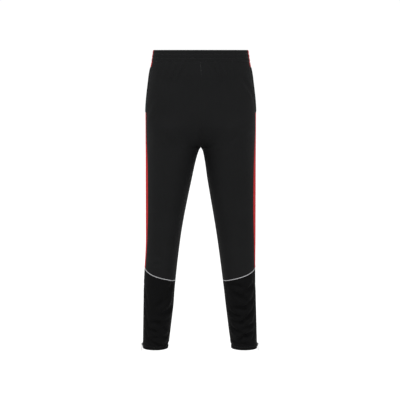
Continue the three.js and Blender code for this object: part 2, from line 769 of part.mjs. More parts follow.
// Sizes of the zip's own frame: x outwards from the cloth, y round the leg, z up from
// the hem along the chain.
function sliderGeometry() {
  const shoulder = SLIDER_HALF;
  const tail = COIL_OUTER + SLIDER_TAIL_FIT;
  const outlineShape = new THREE.Shape()
    .moveTo(-shoulder, SLIDER_CORNER)
    .quadraticCurveTo(-shoulder, 0, -shoulder + SLIDER_CORNER, 0)
    .lineTo(shoulder - SLIDER_CORNER, 0)
    .quadraticCurveTo(shoulder, 0, shoulder, SLIDER_CORNER)
    .lineTo(shoulder, SLIDER_WAIST)
    .lineTo(tail, SLIDER_LENGTH - SLIDER_NOSE)
    .quadraticCurveTo(tail, SLIDER_LENGTH, tail - SLIDER_NOSE, SLIDER_LENGTH)
    .lineTo(SLIDER_NOSE - tail, SLIDER_LENGTH)
    .quadraticCurveTo(-tail, SLIDER_LENGTH, -tail, SLIDER_LENGTH - SLIDER_NOSE)
    .lineTo(-shoulder, SLIDER_WAIST);
  const plate = (x) =>
    new THREE.ExtrudeGeometry(outlineShape, {
      depth: SLIDER_PLATE,
      bevelEnabled: false,
      curveSegments: 4,
    })
      .applyMatrix4(
        new THREE.Matrix4().makeBasis(
          new THREE.Vector3(0, 1, 0),
          new THREE.Vector3(0, 0, 1),
          new THREE.Vector3(1, 0, 0),
        ),
      )
      .translate(x, 0, SLIDER_LOW);
  const flange = (sign) => {
    const [a, b] = [SLIDER_HALF - SLIDER_FLANGE, SLIDER_HALF].map((y) => sign * y);
    return block(
      [COIL_FLOOR + SLIDER_SINK, Math.min(a, b), SLIDER_LOW + SLIDER_NOSE],
      [SLIDER_TOP - SLIDER_SINK, Math.max(a, b), SLIDER_LOW + SLIDER_WAIST],
    );
  };
  const bridgeLow = SLIDER_LOW + 2 * SLIDER_SINK;
  const bridgeSink = SLIDER_PLATE - 3.5 * SLIDER_SINK;
  const bridge = block(
    [SLIDER_FLOOR - bridgeSink, -SLIDER_BRIDGE_HALF, bridgeLow],
    [SLIDER_TOP - bridgeSink, SLIDER_BRIDGE_HALF, bridgeLow + SLIDER_BRIDGE_LENGTH],
  );
  const bailFoot = SLIDER_TOP - PIVOT_OUT - 1.5 * SLIDER_SINK;
  const bailLoop = new THREE.Shape()
    .moveTo(-BAIL_R, bailFoot)
    .lineTo(BAIL_R, bailFoot)
    .lineTo(BAIL_R, 0)
    .absarc(0, 0, BAIL_R, 0, Math.PI, false);
  bailLoop.holes.push(new THREE.Path().absarc(0, 0, BAIL_BORE_R, 0, 2 * Math.PI, true));
  const bail = new THREE.ExtrudeGeometry(bailLoop, {
    depth: 2 * BAIL_HALF_WIDTH,
    bevelEnabled: false,
    curveSegments: 8,
  })
    .translate(0, 0, -BAIL_HALF_WIDTH)
    .applyMatrix4(
      new THREE.Matrix4().makeBasis(
        new THREE.Vector3(0, 0, 1),
        new THREE.Vector3(1, 0, 0),
        new THREE.Vector3(0, 1, 0),
      ),
    )
    .translate(PIVOT_OUT, 0, PIVOT_UP);
  return joined(
    plate(SLIDER_TOP - SLIDER_PLATE),
    plate(SLIDER_FLOOR - SLIDER_PLATE),
    flange(-1),
    flange(1),
    bridge,
    bail,
  );
}

function pullGeometry() {
  const window = BAIL_HALF_WIDTH + PULL_SIDE_FIT;
  const half = PULL_WIDTH / 2;
  const bar = PULL_BAR / 2;
  const windowEnd = BAIL_R + PULL_END_FIT;
  const shoulder = windowEnd + PULL_SHOULDER;
  const plan = new THREE.Shape()
    .moveTo(-half, bar)
    .lineTo(-half, -shoulder)
    .lineTo(-half + PULL_WAIST_IN, -shoulder - PULL_WAIST_DOWN)
    .lineTo(-half, -PULL_LENGTH + half)
    .absarc(0, -PULL_LENGTH + half, half, Math.PI, 2 * Math.PI, false)
    .lineTo(half - PULL_WAIST_IN, -shoulder - PULL_WAIST_DOWN)
    .lineTo(half, -shoulder)
    .lineTo(half, bar);
  plan.holes.push(
    new THREE.Path()
      .moveTo(-window, -bar)
      .lineTo(window, -bar)
      .lineTo(window, -windowEnd)
      .lineTo(-window, -windowEnd),
    new THREE.Path().absarc(0, -PULL_LENGTH + half, PULL_HOLE_R, 0, 2 * Math.PI, true),
  );
  return new THREE.ExtrudeGeometry(plan, {
    depth: PULL_BAR,
    bevelEnabled: false,
    curveSegments: 6,
  })
    .translate(0, 0, -bar)
    .applyMatrix4(
      new THREE.Matrix4().makeBasis(
        new THREE.Vector3(0, 1, 0),
        new THREE.Vector3(0, 0, 1),
        new THREE.Vector3(1, 0, 0),
      ),
    )
    .translate(PIVOT_OUT, 0, PIVOT_UP);
}

function addAnkleZip(leg) {
  const sided = (name) => `${name}_${leg.side}`;
  for (const [name, sign] of [
    ["zip_tape_front", -1],
    ["zip_tape_back", 1],
  ])
    addToSide(
      leg,
      name,
      patch(leg, {
        top: level(ZIP_TOP - STOP_LENGTH - 3),
        bottom: level(HEM - 1),
        run: (c) => {
          const [a, b] = [CHAIN_GAP_HALF, TAPE_WIDTH];
          return sign < 0 ? -mix(b, a, c) : mix(a, b, c);
        },
        columns: 3,
        lines: 5,
        from: TAPE_DEPTH,
        to: TAPE_DEPTH + LINING,
      }),
      "tape",
    );

  // The zip's own frame stands on the hem and leans with the straight outer side.
  const foot = leg.point(0, HEM);
  const head = leg.point(0, CALF_DROP);
  const stand = new THREE.Group();
  stand.position.set(leg.side === "right" ? -foot.x : foot.x, foot.y, foot.z);
  stand.rotation.z = leg.side === "right" ? Math.PI : 0;
  const frame = new THREE.Group();
  frame.rotation.y = -Math.atan2(foot.x - head.x, head.z - foot.z);
  stand.add(frame);
  trousers.add(stand);

  // Local +y is the back on the left leg and the front on the right one, which is turned.
  const backSign = leg.side === "right" ? -1 : 1;
  const coilLow = COIL_END;
  for (const [name, side] of [
    ["front", -backSign],
    ["back", backSign],
  ]) {
    const [a, b] = [CHAIN_GAP_HALF, COIL_OUTER].map((y) => side * y);
    const [low, high] = [Math.min(a, b), Math.max(a, b)];
    add(
      sided(`zip_coil_${name}`),
      block([COIL_FLOOR, low, coilLow], [COIL_TOP, high, coilLow + CHAIN_LENGTH]),
      "coil",
      frame,
    );
    add(
      sided(`zip_top_stop_${name}`),
      block(
        [COIL_FLOOR, low, coilLow - TOUCH_GAP - STOP_LENGTH],
        [COIL_TOP + STOP_PROUD, high, coilLow - TOUCH_GAP],
      ),
      "blackMetal",
      frame,
    );
  }
  const stopLow = coilLow + CHAIN_LENGTH + TOUCH_GAP;
  add(
    sided("zip_bottom_stop"),
    block(
      [COIL_FLOOR, -COIL_OUTER, stopLow],
      [COIL_TOP + STOP_PROUD, COIL_OUTER, stopLow + STOP_LENGTH],
    ),
    "blackMetal",
    frame,
  );
  add(sided("zip_slider"), sliderGeometry(), "blackMetal", frame);
  add(sided("zip_pull"), pullGeometry(), "blackMetal", frame);
}

// ---------------------------------------------------------------- the garment
const legs = ["right", "left"].map((name) => new Leg(name));
for (const leg of legs) {
  addPanels(leg);
  addPocket(leg);
  addAnkleZip(leg);
}
addWaistband(legs[1]);

export default trousers;
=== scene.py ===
"""Training trousers in black knit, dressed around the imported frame.

The garment is worn shape without a wearer: front towards -Y, +Z up, the wearer's left at +X.
A place on the cloth is given in metres by its drop below the waistband's top edge and its
run, the distance round the leg from the side line: negative to the front, positive behind.
"""

import logging
import math
from collections.abc import Callable, Sequence
from dataclasses import dataclass, field
from enum import Enum

import bpy
import numpy as np
from mathutils import Matrix, Vector


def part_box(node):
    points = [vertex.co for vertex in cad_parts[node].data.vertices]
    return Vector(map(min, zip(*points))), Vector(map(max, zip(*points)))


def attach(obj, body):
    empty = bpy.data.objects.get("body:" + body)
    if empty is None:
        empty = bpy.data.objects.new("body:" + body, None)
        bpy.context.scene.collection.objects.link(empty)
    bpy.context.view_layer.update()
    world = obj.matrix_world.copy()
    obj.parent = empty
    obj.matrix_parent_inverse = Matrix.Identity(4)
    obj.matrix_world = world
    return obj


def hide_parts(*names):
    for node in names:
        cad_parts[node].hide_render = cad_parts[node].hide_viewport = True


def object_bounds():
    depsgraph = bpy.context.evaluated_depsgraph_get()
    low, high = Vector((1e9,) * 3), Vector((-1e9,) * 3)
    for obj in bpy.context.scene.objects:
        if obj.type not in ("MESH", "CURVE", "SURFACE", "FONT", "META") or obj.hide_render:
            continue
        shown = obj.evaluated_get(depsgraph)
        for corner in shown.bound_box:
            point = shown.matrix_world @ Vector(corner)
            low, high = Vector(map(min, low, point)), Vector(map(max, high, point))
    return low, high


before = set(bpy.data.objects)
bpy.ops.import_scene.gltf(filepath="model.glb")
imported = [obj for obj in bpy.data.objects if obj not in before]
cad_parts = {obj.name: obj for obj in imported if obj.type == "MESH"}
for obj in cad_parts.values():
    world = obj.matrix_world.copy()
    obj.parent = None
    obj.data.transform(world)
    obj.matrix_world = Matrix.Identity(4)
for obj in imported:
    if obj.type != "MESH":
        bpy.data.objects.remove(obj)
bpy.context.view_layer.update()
LOG = logging.getLogger("trousers")
MM = 0.001
ROOT = "trousers"

Array = np.ndarray
Station = tuple[float, float]


class Side(Enum):
    """The wearer's side that a leg is on, as the sign of its X."""

    LEFT = 1
    RIGHT = -1

    @property
    def tag(self) -> str:
        """The side's name at the end of a piece's name."""
        return self.name.lower()


def smooth(t: Array | float) -> Array | float:
    """An even ramp from 0 to 1 with level ends."""
    t = np.clip(t, 0.0, 1.0)
    return t * t * (3 - 2 * t)


def bump(distance: Array | float, width: float) -> Array | float:
    """A round hump that is 1 at distance 0 and has nearly gone at twice the width."""
    return np.exp(-((distance / width) ** 2))


# ------------------------------------------------------------------ the garment's pattern
class Outline:
    """A smooth line through stations that never overshoots, straight in its last stretch."""

    def __init__(self, *stations: Station) -> None:
        """Takes the line's stations.

        Args:
            stations: Pairs of drop and value, in millimetres, in order of drop.
        """
        self.x, self.y = (np.array(v, float) * MM for v in zip(*stations))
        self.slope = np.diff(self.y) / np.diff(self.x)
        a, b = self.slope[:-1], self.slope[1:]
        same = a * b > 0
        inner = np.where(same, 2 * a * b / np.where(same, a + b, 1), 0.0)
        self.tangent = np.concatenate([self.slope[:1], inner, self.slope[-1:]])
        self.tangent[-2] = self.slope[-1]

    def __call__(self, x: Array | float) -> Array | float:
        """The value at a drop, both in metres.

        Args:
            x: Drops.

        Returns:
            The values, of the same shape.
        """
        last = len(self.slope) - 1
        i = np.clip(np.searchsorted(self.x, x, side="right") - 1, 0, last)
        step = self.x[i + 1] - self.x[i]
        t = (x - self.x[i]) / step
        line = self.y[i] + self.slope[i] * (x - self.x[i])
        ease = self.y[i] + (self.y[i + 1] - self.y[i]) * t * t * (3 - 2 * t)
        ease = ease + step * t * (1 - t) * ((1 - t) * self.tangent[i] - t * self.tangent[i + 1])
        return np.where((i == last) | (x < self.x[0]), line, ease)


RISE = 330 * MM
HEM = 1020 * MM
BAND = 40 * MM
FORK = 185 * MM
CALF = HEM - 205 * MM
SHIN_SEAM = HEM - 285 * MM
ZIP_LENGTH = 198 * MM
ZIP_STOP = 2.6 * MM
ZIP_TAPER = 6 * MM
ZIP_TOP = HEM - ZIP_LENGTH
ZIP_HALF = 5.6 * MM
CLOTH = 1.2 * MM
WAIST_SLOPE = 0.07
FULLNESS = 2.25
THIGH_BLEND = 70 * MM
SEAM_REACH = 8
POCKET_TOP = 57 * MM
POCKET_END = 212 * MM

FRONT_DEPTH = Outline(
    (0, 104), (40, 106), (92, 112), (216, 112), (330, 98), (444, 84), (631, 66), (815, 56), (1020, 43)
)
BACK_DEPTH = Outline(
    (0, 104), (40, 110), (92, 122), (216, 134), (330, 118), (444, 98), (631, 74), (815, 66), (1020, 53)
)
STRIPE_FRONT = Outline((0, 25), (92, 30), (216, 29), (300, 36), (400, 43), (527, 40), (631, 31), (735, 21))
STRIPE_BACK = Outline((0, 35), (216, 42), (330, 44), (527, 40), (631, 30), (735, 0))
INSEAM_FORWARD = Outline((330, 0), (444, 2), (631, 9), (735, 13), (1020, 13))
LEG_EDGES = {
    Side.RIGHT: {
        "thigh": (188, 32), "knee": (188, 68), "calf": (196, 89.5), "ankle": 94.5, "hem": (199.7, 112.6)
    },
    Side.LEFT: {
        "thigh": (188, 23.5), "knee": (188, 55), "calf": (188.6, 79.5), "ankle": 87, "hem": (194.5, 105.4)
    },
}


def shin_seam(share: Array | float) -> Array | float:
    """The drop of the shin seam's middle, by the share of the way round the front."""
    line = Outline((0, 0), (220, 16), (390, 27.5), (610, 39), (830, 47), (1000, 49))
    return SHIN_SEAM + line(np.clip(share, 0, 1))


class LegForm:
    """Half of the garment as cut: the body section above the crotch, a tube below it."""

    TURNS = 241

    def __init__(self, side: Side) -> None:
        """Reads the side's outlines and measures every section once.

        Args:
            side: The leg.
        """
        e = LEG_EDGES[side]
        self.side = side
        self.outer = Outline(
            (0, 161), (40, 167), (92, 176.5), (216, 188), (444, e["thigh"][0]),
            (631, e["knee"][0]), (815, e["calf"][0]), (1020, e["hem"][0]),
        )
        self.inner = Outline(
            (330, 0), (340, 6.4), (444, e["thigh"][1]), (631, e["knee"][1]),
            (815, e["calf"][1]), (879, e["ankle"]), (1020, e["hem"][1]),
        )
        self.drops = np.linspace(0, HEM, 511)
        lengths = [self.section(d)[1][[0, -1]] for d in self.drops]
        self.front_run, self.back_run = np.abs(np.array(lengths)).T

    def section(self, drop: float) -> tuple[Array, Array]:
        """The section at a drop.

        Args:
            drop: Metres below the waistband's top edge.

        Returns:
            The points of the half at +X as rows of x and y, and their runs.
        """
        turn = np.linspace(0, 1, self.TURNS)
        outer = float(self.outer(drop))
        inner = float(self.inner(drop)) if drop > RISE else 0.0
        angle = np.pi * (turn - 0.5)

        def power(v: Array) -> Array:
            """A sine or cosine, bent to give the body's squarer section."""
            return np.sign(v) * np.abs(v) ** (2 / FULLNESS)

        body = np.stack([outer * power(np.cos(angle)), power(np.sin(angle))], 1)
        leg = np.stack(
            [(outer + inner) / 2 + (outer - inner) / 2 * np.cos(2 * angle), np.sin(2 * angle)], 1
        )
        way = min(max((drop - FORK) / (RISE - FORK), 0), 1)
        at_seam = 1 - math.sqrt(1 - way * way)
        away = smooth((drop - FORK) / (RISE + THIGH_BLEND - FORK))
        share = (away + (at_seam - away) * np.sin(angle) ** SEAM_REACH)[:, None]
        bare = body + (leg - body) * share
        front, back = float(FRONT_DEPTH(drop)), float(BACK_DEPTH(drop))
        bare[:, 1] = (back - front) / 2 + (back + front) / 2 * bare[:, 1] / bare[:, 1].max()
        runs = np.concatenate([[0], np.cumsum(np.linalg.norm(np.diff(bare, axis=0), axis=1))])
        return bare, runs - runs[self.TURNS // 2]

    def lengths(self, drop: Array | float) -> tuple[Array, Array]:
        """The runs from the side line to the front end and to the back end."""
        return np.interp(drop, self.drops, self.front_run), np.interp(drop, self.drops, self.back_run)

    def share(self, run: Array, drop: Array) -> Array:
        """The share of the way round, from -1 at the front end to 1 at the back end.

        Args:
            run: Runs; below the crotch one past the back end carries on into the front.
            drop: The drops they are at.

        Returns:
            The shares.
        """
        front, back = self.lengths(drop)
        run = np.where((run > back) & (drop > RISE), run - back - front, run)
        run = np.where((run < -front) & (drop > RISE), run + back + front, run)
        return np.where(run < 0, run / front, run / back)

    def table(self, drops: Array, shares: Array) -> Array:
        """The undraped surface as a grid of points, one line of them for each drop.

        Args:
            drops: The lines' drops.
            shares: The columns' shares of the way round.

        Returns:
            The points as rows, columns and 3.
        """
        grid = np.zeros((len(drops), len(shares), 3))
        for r, drop in enumerate(drops):
            bare, runs = self.section(float(drop))
            at = np.where(shares < 0, -shares * runs[0], shares * runs[-1])
            grid[r, :, 0] = self.side.value * np.interp(at, runs, bare[:, 0])
            grid[r, :, 1] = np.interp(at, runs, bare[:, 1])
            slope = WAIST_SLOPE * (1 - smooth(drop / FORK))
            grid[r, :, 2] = -drop + slope * grid[r, :, 1]
        return grid


# ------------------------------------------------------------------ folds and drape
@dataclass(frozen=True)
class Fold:
    """One crease: a valley with a soft ridge along each side, in millimetres.

    Attributes:
        side: The leg it is on.
        run: The run of its middle.
        drop: The drop of its middle.
        length: Half of its length.
        width: Half of the valley's width.
        depth: How deep the valley is.
        tilt: Its slope in degrees: 0 lies round the leg, 90 along it.
    """

    side: Side
    run: float
    drop: float
    length: float
    width: float
    depth: float
    tilt: float = 0.0

    def lift(self, run: Array, drop: Array) -> Array:
        """How far the fold moves the cloth outwards at each place, in metres.

        Args:
            run: Runs.
            drop: Drops, of the same shape.

        Returns:
            The lift at each place.
        """
        a = math.radians(self.tilt)
        x, y = run - self.run * MM, drop - self.drop * MM
        along = (x * math.cos(a) + y * math.sin(a)) / (self.length * MM)
        across = (y * math.cos(a) - x * math.sin(a)) / (self.width * MM)
        across = across + 0.35 * np.sin(2.2 * along)
        profile = -bump(across, 1.0) + 0.55 * (bump(across - 1.9, 1.1) + bump(across + 1.9, 1.1))
        return self.depth * MM * profile * np.exp(-(along**4))


def fold_run(side: Side, runs: Sequence[tuple[float, ...]]) -> list[Fold]:
    """A list of folds on one side from rows of their sizes."""
    return [Fold(side, *row) for row in runs]


class Drape:
    """The whole garment's surface after its cloth has settled.

    The cloth is one welded mesh. Its lower legs are cut longer than the space they hang in,
    as they are on a wearer, so the cloth there gathers into creases as it settles.

    Attributes:
        COLUMNS: How many columns of cloth go round each leg.
        SETTLE_FRAMES: How many frames the cloth settles for.
        FURTHEST: The furthest that settling may carry a point.
        SPARE: The spare length of all the cloth, as a share of the length.
        FABRIC: The settling cloth's settings.
    """

    COLUMNS = 64
    SETTLE_FRAMES = 26
    FURTHEST = 9 * MM
    SPARE = 0.006
    FABRIC = {
        "quality": 7, "mass": 0.25, "air_damping": 2.0, "pin_stiffness": 1.0,
        "tension_stiffness": 40, "compression_stiffness": 40, "shear_stiffness": 12, "bending_stiffness": 3.0,
        "tension_damping": 20, "compression_damping": 20, "shear_damping": 10,
    }

    def __init__(self, forms: dict[Side, LegForm]) -> None:
        """Lays out the cloth's lines and shares.

        Args:
            forms: The undraped leg on each side.
        """
        self.forms = forms
        self.shares = np.linspace(-1, 1, self.COLUMNS + 1)
        self.drops = self.lines()
        self.grid = {side: form.table(self.drops, self.shares) for side, form in forms.items()}
        self.padded: dict[Side, Array] = {}
        self.extra = {side: 0.0 for side in forms}

    @staticmethod
    def lines() -> Array:
        """The drops of the cloth's lines, closer near the crotch and on the lower legs.

        Returns:
            The drops, from the top edge to the hem.
        """

        def between(a: float, b: float) -> Array:
            """The drops between two, by the cloth's own spacing.

            Args:
                a: The first drop.
                b: The last drop.

            Returns:
                The drops, with both ends.
            """
            d = np.linspace(a, b, 4000)
            fine = 8.5 - 4.0 * smooth((d / MM - 600) / 110)
            step = np.minimum(fine, 0.6 + np.abs(d - RISE) / MM * 0.22) * MM
            total = np.concatenate([[0], np.cumsum((1 / step[1:] + 1 / step[:-1]) / 2 * np.diff(d))])
            n = round(total[-1])
            return np.interp(np.linspace(0, total[-1], n + 1), total, d)

        return np.concatenate([between(0, RISE), between(RISE, HEM)[1:]])

    def places(self, side: Side) -> tuple[Array, Array]:
        """The run and the drop of every point of a side's grid.

        Args:
            side: The leg.

        Returns:
            The runs and the drops, each as rows and columns.
        """
        front, back = self.forms[side].lengths(self.drops)
        s = self.shares[None, :]
        run = np.where(s < 0, s * front[:, None], s * back[:, None])
        return run, np.broadcast_to(self.drops[:, None], run.shape)

    def normals(self, grid: Array) -> Array:
        """The outward normals of a side's grid.

        Args:
            grid: Points as rows, columns and 3.

        Returns:
            The normals, of the same shape.
        """
        fall = np.gradient(grid, axis=0)
        along = np.gradient(grid, axis=1)
        n = np.cross(fall, along)
        return n / np.maximum(np.linalg.norm(n, axis=2, keepdims=True), 1e-12)

    def raise_folds(self, folds: list[Fold], share: float = 1.0) -> None:
        """Moves the cloth of both sides by the folds that are on it.

        Args:
            folds: The folds.
            share: How much of each fold's depth is given.
        """
        for side, grid in self.grid.items():
            run, drop = self.places(side)
            lift = share * sum((f.lift(run, drop) for f in folds if f.side is side), np.zeros(run.shape))
            sign = side.value
            edge = smooth((1 - np.abs(self.shares[None, :])) / 0.06)
            lift = lift * np.where(drop < RISE + 12 * MM, edge, 1.0)
            grid += lift[:, :, None] * self.normals(grid) * sign

    def welded(self) -> dict[Side, Array]:
        """The number of the welded mesh's point at each place of each side's grid.

        Returns:
            For each side, point numbers as rows and columns.
        """
        rows, cols = len(self.drops), len(self.shares)
        index = {side: np.full((rows, cols), -1) for side in Side}
        count = 0
        for r, drop in enumerate(self.drops):
            left, right = index[Side.LEFT][r], index[Side.RIGHT][r]
            for row in (left, right):
                row[:] = np.arange(count, count + cols)
                count += cols
            if drop < RISE - 1e-6:
                right[[0, -1]] = left[[0, -1]]
            elif drop < RISE + 1e-6:
                left[-1] = right[0] = right[-1] = left[0]
            else:
                left[-1], right[-1] = left[0], right[0]
        used, packed = np.unique(np.stack([index[s] for s in Side]), return_inverse=True)
        packed = packed.reshape(2, rows, cols)
        return {side: packed[k] for k, side in enumerate(Side)}

    def hold(self, side: Side) -> Array:
        """How firmly each point keeps its place, from 0, loose, to 1, fixed.

        Args:
            side: The leg.

        Returns:
            The hold at each place of the side's grid.
        """
        run, drop = self.places(side)
        down = drop - SHIN_SEAM
        held = 0.62 - 0.40 * smooth((down + 60 * MM) / (70 * MM))
        share = -self.forms[side].share(run, drop)
        held = np.maximum(held, 0.55 * bump(drop - shin_seam(share), 9 * MM) * (share > 0))
        near_crotch = bump(drop - RISE, 26 * MM)
        held = np.maximum(held, near_crotch)
        in_zip = smooth((26 * MM - np.abs(run)) / (9 * MM)) * smooth((drop - ZIP_TOP + 30 * MM) / (20 * MM))
        held = np.maximum(held, in_zip)
        held = np.maximum(held, smooth((drop - HEM + 16 * MM) / (8 * MM)))
        return np.maximum(held, smooth((52 * MM - drop) / (10 * MM)))

    def slack(self, drop: Array, extra: float) -> Array:
        """How much further down a line lies on the cut cloth than in the space it hangs in.

        Args:
            drop: Drops.
            extra: The leg's spare length below the shin seam, as a share.

        Returns:
            The added drops, of the same shape.
        """
        d = np.linspace(0, HEM, 2000)
        share = self.SPARE + extra * smooth((d - SHIN_SEAM + 10 * MM) / (90 * MM))
        return np.interp(drop, d, np.cumsum(share) * (d[1] - d[0]))

    def settle(self, extra: dict[Side, float]) -> None:
        """Runs the cloth and keeps where it comes to rest.

        Args:
            extra: Each leg's spare length below the shin seam, as a share of the length.
        """
        self.extra = extra
        index = self.welded()
        count = 1 + max(int(i.max()) for i in index.values())
        placed, cut, held = np.zeros((count, 3)), np.zeros((count, 3)), np.zeros(count)
        faces = []
        for side, i in index.items():
            placed[i] = self.grid[side]
            cut[i] = self.grid[side]
            cut[i, 2] -= self.slack(self.drops, extra[side])[:, None]
            held[i] = self.hold(side)
            quads = np.stack([i[:-1, :-1], i[1:, :-1], i[1:, 1:], i[:-1, 1:]], 2).reshape(-1, 4)
            faces.append(quads if side is Side.LEFT else quads[:, ::-1])
        mesh = bpy.data.meshes.new("drape")
        mesh.from_pydata(placed.tolist(), [], np.concatenate(faces).tolist())
        cloth = bpy.data.objects.new("drape", mesh)
        bpy.context.scene.collection.objects.link(cloth)
        cloth.shape_key_add(name="placed")
        key = cloth.shape_key_add(name="cut")
        key.data.foreach_set("co", cut.ravel())
        group = cloth.vertex_groups.new(name="held")
        for weight in np.unique(np.round(held, 2)):
            near = np.flatnonzero(np.round(held, 2) == weight)
            group.add(near.tolist(), float(weight), "REPLACE")
        modifier = cloth.modifiers.new("settle", "CLOTH")
        fabric = modifier.settings
        for name, value in self.FABRIC.items():
            setattr(fabric, name, value)
        fabric.vertex_group_mass = "held"
        fabric.rest_shape_key = key
        modifier.collision_settings.use_collision = False
        modifier.collision_settings.use_self_collision = False
        scene = bpy.context.scene
        for timed in (scene, modifier.point_cache):
            timed.frame_start, timed.frame_end = 1, self.SETTLE_FRAMES
        for frame in range(1, self.SETTLE_FRAMES + 1):
            scene.frame_set(frame)
        settled = cloth.evaluated_get(bpy.context.evaluated_depsgraph_get())
        points = np.zeros(count * 3)
        settled.data.vertices.foreach_get("co", points)
        points = points.reshape(-1, 3)
        scene.frame_set(1)
        bpy.data.objects.remove(cloth)
        bpy.data.meshes.remove(mesh)
        for side, i in index.items():
            moved = points[i] - self.grid[side]
            length = np.linalg.norm(moved, axis=2, keepdims=True)
            kept = np.minimum(1, self.FURTHEST / np.maximum(length, 1e-9))
            self.grid[side] = self.grid[side] + moved * kept
            LOG.info("drape %s moved up to %.1f mm", side.tag, float(length.max()) / MM)

    def finish(self) -> None:
        """Adds the neighbouring columns to each side, so that places between can be read."""
        closed = (self.drops > RISE - 1e-6)[:, None, None]
        for side in Side:
            own = self.grid[side]
            other = self.grid[Side.LEFT if side is Side.RIGHT else Side.RIGHT]
            before = np.where(closed, own[:, -3:-1], other[:, 2:0:-1])
            after = np.where(closed, own[:, 1:3], other[:, -2:-4:-1])
            wide = np.concatenate([before, own, after], axis=1)
            top, low = wide[:1] * 2 - wide[1:2], wide[-1:] * 2 - wide[-2:-1]
            self.padded[side] = np.concatenate([top, wide, low], axis=0)

    def at(self, side: Side, run: Array, drop: Array) -> Array:
        """Points of the settled surface.

        Args:
            side: The leg.
            run: Runs.
            drop: Drops, of the same shape.

        Returns:
            The points, with one more axis of 3.
        """
        share = self.forms[side].share(run, drop)
        c = (share + 1) / 2 * self.COLUMNS + 2
        r = np.interp(drop, self.drops, np.arange(len(self.drops))) + 1
        low = (drop - HEM) / (self.drops[-1] - self.drops[-2])
        r = r + np.clip(low, 0, 1)
        grid = self.padded[side]
        r0 = np.clip(np.floor(r).astype(int), 1, grid.shape[0] - 3)
        c0 = np.clip(np.floor(c).astype(int), 1, grid.shape[1] - 3)
        wr, wc = self.weights(r - r0), self.weights(c - c0)
        out = 0.0
        for i in range(4):
            for j in range(4):
                out = out + (wr[i] * wc[j])[..., None] * grid[r0 + i - 1, c0 + j - 1]
        return out

    @staticmethod
    def weights(t: Array) -> list[Array]:
        """A Catmull-Rom curve's four weights.

        Args:
            t: How far along the middle stretch, from 0 to 1.

        Returns:
            The weights of the four stations.
        """
        return [
            0.5 * (-t + 2 * t**2 - t**3),
            0.5 * (2 - 5 * t**2 + 3 * t**3),
            0.5 * (t + 4 * t**2 - 3 * t**3),
            0.5 * (-(t**2) + t**3),
        ]

    def frame_at(self, side: Side, run: Array, drop: Array) -> tuple[Array, Array]:
        """Points of the settled surface and the outward normals there.

        Args:
            side: The leg.
            run: Runs.
            drop: Drops, of the same shape.

        Returns:
            The points and the normals, each with one more axis of 3.
        """
        step = 1.5 * MM
        front, back = self.forms[side].lengths(drop)
        open_top = drop < RISE
        low = np.where(open_top, np.maximum(run - step, -front), run - step)
        high = np.where(open_top, np.minimum(run + step, back), run + step)
        along = self.at(side, high, drop) - self.at(side, low, drop)
        up, down = np.maximum(drop - step, 0), np.minimum(drop + step, HEM)
        above, below = self.carried(side, run, drop, up), self.carried(side, run, drop, down)
        fall = self.at(side, below, down) - self.at(side, above, up)
        n = np.cross(fall, along) * side.value
        n = n / np.maximum(np.linalg.norm(n, axis=-1, keepdims=True), 1e-12)
        from_centre = np.minimum(run + front, back - run) / (9 * MM)
        n[..., 0] *= np.where(open_top, smooth(from_centre), 1.0)
        n = n / np.maximum(np.linalg.norm(n, axis=-1, keepdims=True), 1e-12)
        return self.at(side, run, drop), n

    def carried(self, side: Side, run: Array, drop: Array, new: Array) -> Array:
        """The run at a new drop that is the same share of the way round.

        Args:
            side: The leg.
            run: Runs.
            drop: The drops they are at.
            new: The drops to carry them to.

        Returns:
            The runs at the new drops.
        """
        f0, b0 = self.forms[side].lengths(drop)
        f1, b1 = self.forms[side].lengths(new)
        return np.where(run < 0, run * f1 / f0, run * b1 / b0)


# ------------------------------------------------------------------ meshes
Path = list[tuple[Side, Array]]


def wander(t: Array | float, seed: float) -> Array | float:
    """An uneven wave between -1 and 1, with about one wave for each unit of t."""
    a = 2 * math.pi * t
    return (np.sin(a + seed) + 0.6 * np.sin(0.57 * a + 2.3 * seed) + 0.4 * np.sin(1.73 * a + seed * seed)) / 2


def add_object(
    name: str, points: Array, faces: list[Array], uv: Array, worn: Array, sharp: float
) -> bpy.types.Object:
    """Makes a smooth shaded object in the scene.

    Args:
        name: The piece's name.
        points: Its points.
        faces: Groups of faces, each an array with one row of point numbers for each face.
        uv: Where each point lies on the flat cloth, in metres.
        worn: How worn each point is, from 0 to 1.
        sharp: The angle in degrees over which an edge is sharp.

    Returns:
        The object.
    """
    mesh = bpy.data.meshes.new(name)
    corner_lists = [group.ravel() for group in faces]
    corners = np.concatenate(corner_lists)
    sizes = np.concatenate([np.full(len(g), g.shape[1]) for g in faces])
    mesh.vertices.add(len(points))
    mesh.vertices.foreach_set("co", points.ravel())
    mesh.loops.add(len(corners))
    mesh.loops.foreach_set("vertex_index", corners.astype(np.int32))
    mesh.polygons.add(len(sizes))
    mesh.polygons.foreach_set("loop_start", np.concatenate([[0], np.cumsum(sizes)[:-1]]).astype(np.int32))
    mesh.update(calc_edges=True)
    mesh.validate()
    mesh.polygons.foreach_set("use_smooth", np.ones(len(sizes), bool))
    layer = mesh.uv_layers.new(name="cloth")
    layer.data.foreach_set("uv", uv[corners].astype(np.float32).ravel())
    mark = mesh.attributes.new("worn", "FLOAT", "POINT")
    mark.data.foreach_set("value", worn.astype(np.float32))
    mesh.set_sharp_from_angle(angle=math.radians(sharp))
    made = bpy.data.objects.new(name, mesh)
    bpy.context.scene.collection.objects.link(made)
    return made


